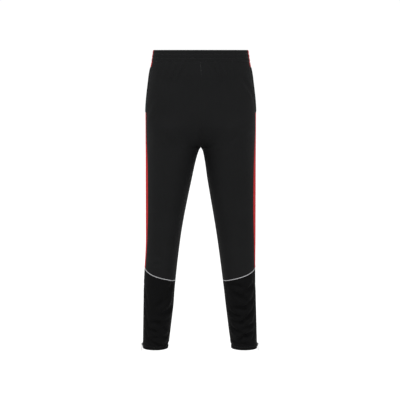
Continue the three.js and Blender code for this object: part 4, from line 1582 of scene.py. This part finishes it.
    def sew(self, cloth: Cloth, strips: dict[str, tuple[Path, str, str]]) -> None:
        """Sews the topstitch rows, black on black and red on red.

        Args:
            cloth: The settled cloth.
            strips: Each strip's path, finish and slot, by name.
        """
        for name, (path, finish, _) in strips.items():
            rows = []
            for drop in (*self.stitch_drops, BAND - 2.2 * MM):
                points = self.across(cloth, path, np.array([drop]), np.array([0.0]))[0]
                normal = np.cross([0, 0, -1], np.gradient(points, axis=0))
                normal /= np.linalg.norm(normal, axis=1, keepdims=True)
                rows.append((points, normal))
            piece = self.thread.rows(f"{name}.stitching", rows)
            red = finish == "red"
            cloth.register(piece, "", "red_thread" if red else "thread")


@dataclass
class CareLabel:
    """The blank satin label that hangs inside the back of the waist.

    Attributes:
        width: Its width.
        thickness: Its thickness.
    """

    width: float = 34 * MM
    thickness: float = 0.5 * MM

    def build(self, cloth: Cloth) -> bpy.types.Object:
        """Makes the label in its CAD box, a little bent, with a fold at its lower end.

        Args:
            cloth: The settled cloth.

        Returns:
            The label.
        """
        low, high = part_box("care_label")
        u = np.linspace(-1, 1, 21)
        v = np.linspace(0, 1, 29)
        grid_u, grid_v = np.meshgrid(u, v)
        x = (low[0] + high[0]) / 2 + grid_u * (high[0] - low[0]) / 2
        z = high[2] - grid_v * (high[2] - low[2])
        curl = 1.1 * MM * grid_v * grid_u**2
        y = (low[1] + high[1]) / 2 - curl - 0.5 * MM * np.sin(grid_v * 5.2) * grid_v
        face = np.stack([x, y, z], 2)
        hem = 0.35 * MM * (bump(grid_v - 0.97, 0.04) + 0.6 * bump(grid_v - 0.03, 0.03))
        step = np.zeros_like(face)
        step[..., 1] = self.thickness / 2 + hem / 2
        uv = np.stack([x, z], 2)
        worn = 0.5 * bump(1 - np.abs(grid_u), 0.05)
        piece = Leaf(face + step, face - step, uv, worn, turned=True).build("care_label.satin", 50)
        cloth.register(piece, "care_label", "label")
        return piece


# ------------------------------------------------------------------ pockets
@dataclass
class Pocket:
    """A side seam pocket: a bag of mesh behind the front, and the welt over its mouth.

    Attributes:
        depths: The bag's outer and inner face under the surface.
        net: The thickness of the bag's mesh.
        reach: How far the bag goes forward of its mouth.
        drops: The bag's top and bottom.
        rounded: How far up the bag's lower corner is rounded off.
        narrowed: How much narrower the bag is at its bottom.
        closing: How near its ends the bag closes.
        shut: The closed ends' thickness, as a share of the open bag's.
        welt_lift: How far the welt lies above the side panel.
        welt_thick: The welt's thickness.
        rows: How far the welt's two rows of stitches lie from the pocket's mouth and
            from the side panel's front edge.
        tack: How far the bar tacks lie inside the welt's ends.
        tack_rows: How many rows of stitches make a bar tack.
        thread: The topstitching's thread.
    """

    depths: tuple[float, float] = (3.5 * MM, 5.7 * MM)
    net: float = 0.55 * MM
    reach: float = 117 * MM
    drops: tuple[float, float] = (54.5 * MM, 283.5 * MM)
    rounded: float = 45 * MM
    narrowed: float = 30 * MM
    closing: float = 7 * MM
    shut: float = 0.55
    welt_lift: float = 0.2 * MM
    welt_thick: float = 1.0 * MM
    rows: tuple[float, float] = (6.2 * MM, 2.6 * MM)
    tack: float = 9 * MM
    tack_rows: int = 5
    thread: Thread = field(default_factory=Thread)

    def build(self, cloth: Cloth, side: Side) -> None:
        """Makes the bag, the welt, its topstitching and its bar tacks."""
        self.build_bag(cloth, side)
        self.build_welt(cloth, side)

    def build_bag(self, cloth: Cloth, side: Side) -> bpy.types.Object:
        """Makes the bag as one folded sheet, open at the mouth and sewn above and below.

        Args:
            cloth: The settled cloth.
            side: The leg.

        Returns:
            The bag.
        """
        drops = np.linspace(*self.drops, 52)
        near, far = self.depths
        radius, wall = (far - near) / 2, self.net
        t = np.linspace(0, 1, 26)
        turn = np.radians(np.linspace(-90, 90, 9))[1:-1]
        length = self.reach - radius

        def fold(inset: float) -> tuple[Array, Array]:
            """The bag's profile, from its mouth round the fold and back.

            Args:
                inset: How far inside the bag's outer face it lies.

            Returns:
                The runs and the depths.
            """
            r = radius - inset
            run = np.concatenate([t * length, length + r * np.cos(turn), t[::-1] * length])
            depth = radius + near + np.concatenate([0 * t - r, r * np.sin(turn), 0 * t + r])
            return run, depth

        sheets = []
        for inset in (0.0, wall):
            run, depth = fold(inset)
            lines = np.broadcast_to(drops[:, None], (len(drops), len(run)))
            round_end = smooth((lines - self.drops[1] + self.rounded) / self.rounded) * self.narrowed
            scale = (self.reach - round_end) / self.reach
            runs = -(STRIPE_FRONT(lines) + 0.5 * MM) - run[None, :] * scale
            pinch = np.minimum(lines - self.drops[0], self.drops[1] - lines)
            closed = 1 - smooth(pinch / self.closing)
            middle = radius + near
            shut = middle + (depth[None, :] - middle) * self.shut
            depths = depth[None, :] * (1 - closed) + shut * closed
            sheets.append(cloth.layer(side, runs, lines, depths))
        along = np.concatenate([[0], np.cumsum(np.abs(np.diff(fold(0.0)[0])) + 0.3 * MM)])
        uv = np.stack(np.meshgrid(along, -drops), 2)
        node = f"pocket_bag_{side.tag}"
        piece = Leaf(*sheets, uv, np.zeros(uv.shape[:2]), turned=side is Side.LEFT).build(node + ".mesh")
        cloth.register(piece, node, "mesh")
        return piece

    def build_welt(self, cloth: Cloth, side: Side) -> bpy.types.Object:
        """Makes the welt, sewn along its front edge and folded at its free edge.

        Args:
            cloth: The settled cloth.
            side: The leg.

        Returns:
            The welt.
        """
        start, end = POCKET_TOP, POCKET_END
        drops = spread(np.array([start]), np.array([end]), 44)[0]
        low, high = -STRIPE_FRONT(drops) - 0.4 * MM, np.full(len(drops), -0.2 * MM)
        run = spread(low, high, 14)
        drop = np.broadcast_to(drops[:, None], run.shape)
        free = high[:, None] - run
        ends = np.minimum(drop - start, end - drop)
        edge = np.minimum(np.minimum(run - low[:, None], free), ends)
        stitched = bump(free - 6 * MM, 0.9 * MM) + bump(run - low[:, None] - 2.5 * MM, 0.9 * MM)
        swell = 0.2 * MM * bump(free - 2.5 * MM, 2.2 * MM) * (1 + 0.5 * wander(drop / (14 * MM), side.value))
        sewn = smooth((run - low[:, None]) / (5 * MM)) * smooth(ends / (9 * MM))
        above = -(self.welt_lift + self.welt_thick) + 0.35 * MM * bump(edge, 0.8 * MM)
        above = above + 0.3 * MM * stitched
        outer = (above - swell) * sewn
        inner = 0.5 * MM - (self.welt_lift + 0.5 * MM) * sewn
        worn = 0.7 * bump(free, 1.4 * MM) + 0.2 * bump(edge, 1.0 * MM)
        leaf = Leaf(
            cloth.layer(side, run, drop, outer), cloth.layer(side, run, drop, inner),
            np.stack([run * side.value, -drop], 2), worn, turned=side is Side.RIGHT,
        )
        node = f"pocket_welt_{side.tag}"
        piece = leaf.build(node + ".cloth")
        cloth.register(piece, node, "black")
        fine = np.linspace(start + 2 * MM, end - 2 * MM, 240)
        top = -(self.welt_lift + self.welt_thick - 0.25 * MM)
        rows = [cloth.line(side, np.full(len(fine), -self.rows[0]), fine, top)]
        rows.append(cloth.line(side, -STRIPE_FRONT(fine) + self.rows[1], fine, top))
        for tack in (start + self.tack, end - self.tack):
            for k in range(self.tack_rows):
                offset = (k - self.tack_rows // 2) * 0.55 * MM
                span = np.linspace(-14 * MM, -1.5 * MM, 60)
                rows.append(cloth.line(side, span, np.full(len(span), tack + offset), top))
        stitches = self.thread.rows(f"pocket_welt_{side.tag}.stitching", rows)
        cloth.register(stitches, "", "thread")
        return piece


# ------------------------------------------------------------------ ankle zips
@dataclass
class AnkleZip:
    """One side's ankle zip: two tapes and two coils; its metal stops, slider and pull are the imported parts.

    Attributes:
        tape_depths: The tape's outer and inner face under the surface.
        tape: The runs of a tape's two edges.
        coil_across: The nearest and furthest edge of a coil from the middle.
        coil_out: A coil's lowest and highest face above the chain's own plane.
        coil_along: The coil's ends above the hem.
        pitch: The way from one tooth to the next.
        wire: The radius of the coil's wire.
    """

    tape_depths: tuple[float, float] = (1.62 * MM, 2.15 * MM)
    tape: tuple[float, float] = (0.6 * MM, 15 * MM)
    coil_across: tuple[float, float] = (0.6 * MM, 3.3 * MM)
    coil_out: tuple[float, float] = (-1.3 * MM, 0.4 * MM)
    coil_along: tuple[float, float] = (6.3 * MM, 195.2 * MM)
    pitch: float = 1.5 * MM
    wire: float = 0.34 * MM

    def chain(self, cloth: Cloth, side: Side) -> Matrix:
        """The chain's frame at the hem: x out of the leg, z up along the chain.

        Args:
            cloth: The settled cloth.
            side: The leg.

        Returns:
            The frame, with its origin at the hem.
        """
        form = cloth.drape.forms[side]
        outer = form.outer
        lean = (float(outer(HEM)) - float(outer(CALF))) / (HEM - CALF)
        across = math.hypot(1, lean)
        out = Vector((side.value / across, 0, lean / across))
        up = Vector((-side.value * lean / across, 0, 1 / across))
        round_ = up.cross(out)
        middle = (float(BACK_DEPTH(HEM)) - float(FRONT_DEPTH(HEM))) / 2
        frame = Matrix((out, round_, up)).transposed().to_4x4()
        frame.translation = Vector((side.value * float(outer(HEM)), middle, -HEM))
        return frame

    def build(self, cloth: Cloth, side: Side) -> None:
        """Makes the tapes and the coils.

        Args:
            cloth: The settled cloth.
            side: The leg.
        """
        for part, sign in (("front", -1), ("back", 1)):
            self.build_tape(cloth, side, part, sign)
            self.build_coil(cloth, side, part, sign)

    def build_tape(self, cloth: Cloth, side: Side, part: str, sign: int) -> bpy.types.Object:
        """Makes one tape, with a bead along its inner edge.

        Args:
            cloth: The settled cloth.
            side: The leg.
            part: The half's name, front or back.
            sign: -1 for the front half and 1 for the back.

        Returns:
            The tape.
        """
        drops = np.linspace(ZIP_TOP - 5.2 * MM, HEM - 1.2 * MM, 66)
        near, far = self.tape
        across = spread(np.array([near]), np.array([far]), 9)[0]
        run, drop = np.meshgrid(sign * across, drops)
        outer_depth = self.tape_depths[0] + 0.06 * MM * bump(np.abs(run) - 9 * MM, 1 * MM)
        inner_depth = self.tape_depths[1] - 0.05 * MM * bump(np.abs(run) - far, 1 * MM)
        order = slice(None) if sign > 0 else slice(None, None, -1)
        run, drop, outer_depth, inner_depth = (v[:, order] for v in (run, drop, outer_depth, inner_depth))
        leaf = Leaf(
            cloth.layer(side, run, drop, outer_depth), cloth.layer(side, run, drop, inner_depth),
            np.stack([run * side.value, -drop], 2), 0.2 * bump(np.abs(run) - near, 0.8 * MM),
            turned=side is Side.RIGHT,
        )
        node = f"zip_tape_{part}_{side.tag}"
        piece = leaf.build(node + ".woven")
        cloth.register(piece, node, "tape")
        return piece

    def build_coil(self, cloth: Cloth, side: Side, part: str, sign: int) -> bpy.types.Object:
        """Makes one coil: a helix of nylon wire, flattened, whose turns are the teeth.

        Args:
            cloth: The settled cloth.
            side: The leg.
            part: The half's name, front or back.
            sign: -1 for the front half and 1 for the back.

        Returns:
            The coil.
        """
        frame = self.chain(cloth, side)
        low, high = self.coil_along
        turns = int((high - low - 2 * self.wire) / self.pitch)
        t = np.linspace(0, turns, turns * 14 + 1)
        a = 2 * np.pi * t
        half_y = (self.coil_across[1] - self.coil_across[0]) / 2 - self.wire
        half_x = (self.coil_out[1] - self.coil_out[0]) / 2 - self.wire

        def oblong(v: Array) -> Array:
            """A sine or cosine, bent to flatten the turns."""
            return np.sign(v) * np.abs(v) ** 0.6

        y = sum(self.coil_across) / 2 + half_y * oblong(np.cos(a))
        x = sum(self.coil_out) / 2 + half_x * oblong(np.sin(a))
        shift = 0.25 * self.pitch * sign
        z = low + self.wire + 0.4 * self.pitch + shift + t * self.pitch
        way = 1 if side is Side.LEFT else -1
        local = np.stack([x, sign * way * y, z], 1)
        out = np.stack([np.sin(a), sign * way * np.cos(a), np.zeros_like(a)], 1)
        turn, place = np.array(frame.to_3x3()), np.array(frame.translation)
        line, out = local @ turn.T + place, out @ turn.T
        if sign * way < 0:
            line, out = line[::-1].copy(), out[::-1].copy()
        node = f"zip_coil_{part}_{side.tag}"
        piece = tube(node + ".teeth", line, out, self.wire)
        cloth.register(piece, node, "coil")
        return piece


def sew_hems(cloth: Cloth) -> None:
    """Sews the hem rows, the rows beside the zips and the tacks above them.

    Args:
        cloth: The settled cloth.
    """
    thread = Thread()
    for side in Side:
        rows = []
        front, back = (float(v) for v in cloth.drape.forms[side].lengths(HEM - 11 * MM))
        forward = float(cloth.forward(np.array(HEM)))
        spans = [(-front + forward + MM, -ZIP_HALF - 1.5 * MM), (ZIP_HALF + 1.5 * MM, back + forward - MM)]
        for low, high in spans:
            run = np.linspace(low, high, 300)
            rows.append(cloth.line(side, run, np.full(300, HEM - 11 * MM), 0.12 * MM))
        for edge in (-1, 1):
            drop = np.linspace(OPENING_END - 4 * MM, HEM - 12 * MM, 400)
            run = edge * (zip_edge(drop) + 2.6 * MM)
            rows.append(cloth.line(side, run, drop, -0.02 * MM))
        run = np.linspace(-6 * MM, 6 * MM, 40)
        for k in range(3):
            drop = np.full(40, OPENING_END - (4.6 + 0.6 * k) * MM)
            rows.append(cloth.line(side, run, drop, -0.02 * MM))
        sewn = thread.rows(f"hem_{side.tag}.stitching", rows)
        cloth.register(sewn, "", "thread")


def finish_metal(cloth: Cloth) -> None:
    """Rounds the edges of the metal pieces and gives them their finish.

    Args:
        cloth: The settled cloth.
    """
    stops = ("zip_top_stop_front", "zip_top_stop_back", "zip_bottom_stop")
    metal = ("drawcord_eyelet", *stops, "zip_slider", "zip_pull")
    for kind in metal:
        for side in Side:
            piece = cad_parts[f"{kind}_{side.tag}"]
            cloth.finishes.dress(piece, "metal")
            edge = piece.modifiers.new("rounded", "BEVEL")
            edge.width = (0.12 if kind != "zip_pull" else 0.25) * MM
            edge.segments = 2
            edge.limit_method = "ANGLE"
            edge.angle_limit = math.radians(35)


# ------------------------------------------------------------------ creases
SHIN_CREASES = [
    *fold_run(Side.RIGHT, [
        (-122, 815, 34, 8.5, 2.6, 48), (-106, 848, 38, 8, 2.8, 44), (-120, 884, 34, 8, 2.6, 38),
        (-80, 922, 30, 6.5, 2.6, 12), (-104, 938, 30, 6, 2.2, -30), (-72, 954, 30, 6.5, 2.4, -14),
        (-94, 974, 34, 6.5, 2.5, 8), (-70, 994, 28, 5.5, 1.7, -18),
    ]),
    *fold_run(Side.LEFT, [
        (-105, 796, 34, 8, 2.6, 20), (-60, 810, 32, 8, 2.9, -28), (-90, 834, 36, 8, 3.0, 36),
        (-57, 857, 28, 7.5, 2.7, -22), (-90, 872, 34, 7.5, 2.8, 6), (-112, 895, 30, 7, 2.6, 30),
        (-64, 905, 34, 7.5, 3.1, -34), (-94, 922, 30, 6.5, 2.4, 22), (-62, 938, 28, 6.5, 2.7, -12),
        (-96, 955, 32, 6.5, 2.6, 30), (-76, 972, 34, 6.5, 2.9, -22), (-86, 996, 28, 5.5, 1.8, 8),
    ]),
]
WAIST_CREASES = [
    *fold_run(Side.LEFT, [
        (-186, 74, 34, 6, 2.2, 84), (-164, 78, 38, 6, 2.5, 98),
        (-142, 74, 34, 6, 2.0, 84), (-118, 80, 30, 7, 1.5, 96),
    ]),
    *fold_run(Side.RIGHT, [
        (-172, 72, 34, 6, 2.3, 96), (-148, 78, 38, 6, 2.3, 84),
        (-122, 76, 34, 7, 1.7, 98), (-96, 80, 28, 7, 1.2, 84),
    ]),
    Fold(Side.LEFT, -68, 128, 48, 9, 2.4, 58),
    Fold(Side.LEFT, -95, 262, 46, 9, 1.7, 2),
    Fold(Side.RIGHT, -95, 700, 45, 9, 2.0, -14),
    Fold(Side.RIGHT, -70, 722, 40, 8, 2.0, 10),
    Fold(Side.RIGHT, -60, 196, 46, 11, 1.2, 62),
    Fold(Side.LEFT, -150, 300, 60, 11, 1.6, -46),
    Fold(Side.RIGHT, -150, 305, 60, 11, 1.6, -46),
]


SPARE_LENGTH = {Side.LEFT: 0.09, Side.RIGHT: 0.07}
SECOND_RAISE = 0.85
CAMERA_PLACE = (-0.0025, -3.6, -0.25)
CAMERA_AIM = (-0.0025, 0.0, -0.509)
CAMERA_LENS = 95.1


def build_stage() -> None:
    """Makes the floor, the soft light and the camera."""
    low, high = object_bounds()
    mesh = bpy.data.meshes.new("floor")
    size, level = 60.0, low[2] - 0.45
    corners = [(-size, -size), (size, -size), (size, size), (-size, size)]
    mesh.from_pydata([(*corner, level) for corner in corners], [], [(0, 1, 2, 3)])
    floor = bpy.data.objects.new("floor", mesh)
    bpy.context.scene.collection.objects.link(floor)
    recipe = Recipe("pale_floor")
    white = (0.97, 0.97, 0.97, 1)
    mesh.materials.append(recipe.finish(Base_Color=white, Roughness=0.95, Specular_IOR_Level=0.1))

    world = bpy.data.worlds.new("studio")
    world.use_nodes = True
    tree = world.node_tree
    paper = tree.nodes["Background"]
    paper.inputs["Color"].default_value = (1, 1, 1, 1)
    rays = tree.nodes.new("ShaderNodeLightPath")
    level = tree.nodes.new("ShaderNodeMapRange")
    level.inputs["To Min"].default_value = 0.5
    level.inputs["To Max"].default_value = 1.03
    tree.links.new(rays.outputs["Is Camera Ray"], level.inputs["Value"])
    tree.links.new(level.outputs["Result"], paper.inputs["Strength"])
    scene = bpy.context.scene
    scene.world = world
    scene.view_settings.view_transform = "Standard"
    scene.view_settings.look = "None"

    middle = Vector(CAMERA_AIM)
    lamps = [("key", (-1.5, -1.9, 3.4), 2.1, 24), ("fill", (2.6, -2.4, 1.6), 0.9, 50)]
    for name, place, power, width in lamps:
        light = bpy.data.lights.new(name, "SUN")
        light.energy = power
        light.angle = math.radians(width)
        lamp = bpy.data.objects.new(name, light)
        lamp.location = place
        lamp.rotation_euler = (middle - Vector(place)).to_track_quat("-Z", "Y").to_euler()
        scene.collection.objects.link(lamp)

    lens = bpy.data.cameras.new("camera")
    lens.lens = CAMERA_LENS
    lens.sensor_width = 36.0
    camera = bpy.data.objects.new("camera", lens)
    camera.location = CAMERA_PLACE
    camera.rotation_euler = (middle - camera.location).to_track_quat("-Z", "Y").to_euler()
    scene.collection.objects.link(camera)
    scene.camera = camera


def main() -> None:
    """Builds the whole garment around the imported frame."""
    logging.basicConfig(level=logging.INFO, format="%(name)s: %(message)s")
    build_stage()
    drape = Drape({side: LegForm(side) for side in Side})
    drape.raise_folds(SHIN_CREASES)
    drape.settle(SPARE_LENGTH)
    drape.raise_folds(SHIN_CREASES, SECOND_RAISE)
    drape.raise_folds(WAIST_CREASES)
    drape.finish()
    cloth = Cloth(drape, Finishes())
    build_panels(cloth)
    Waist().build(cloth)
    CareLabel().build(cloth)
    for side in Side:
        Piping().build(cloth, side)
        Pocket().build(cloth, side)
        AnkleZip().build(cloth, side)
    sew_hems(cloth)
    finish_metal(cloth)


if __name__ == "__main__":
    main()
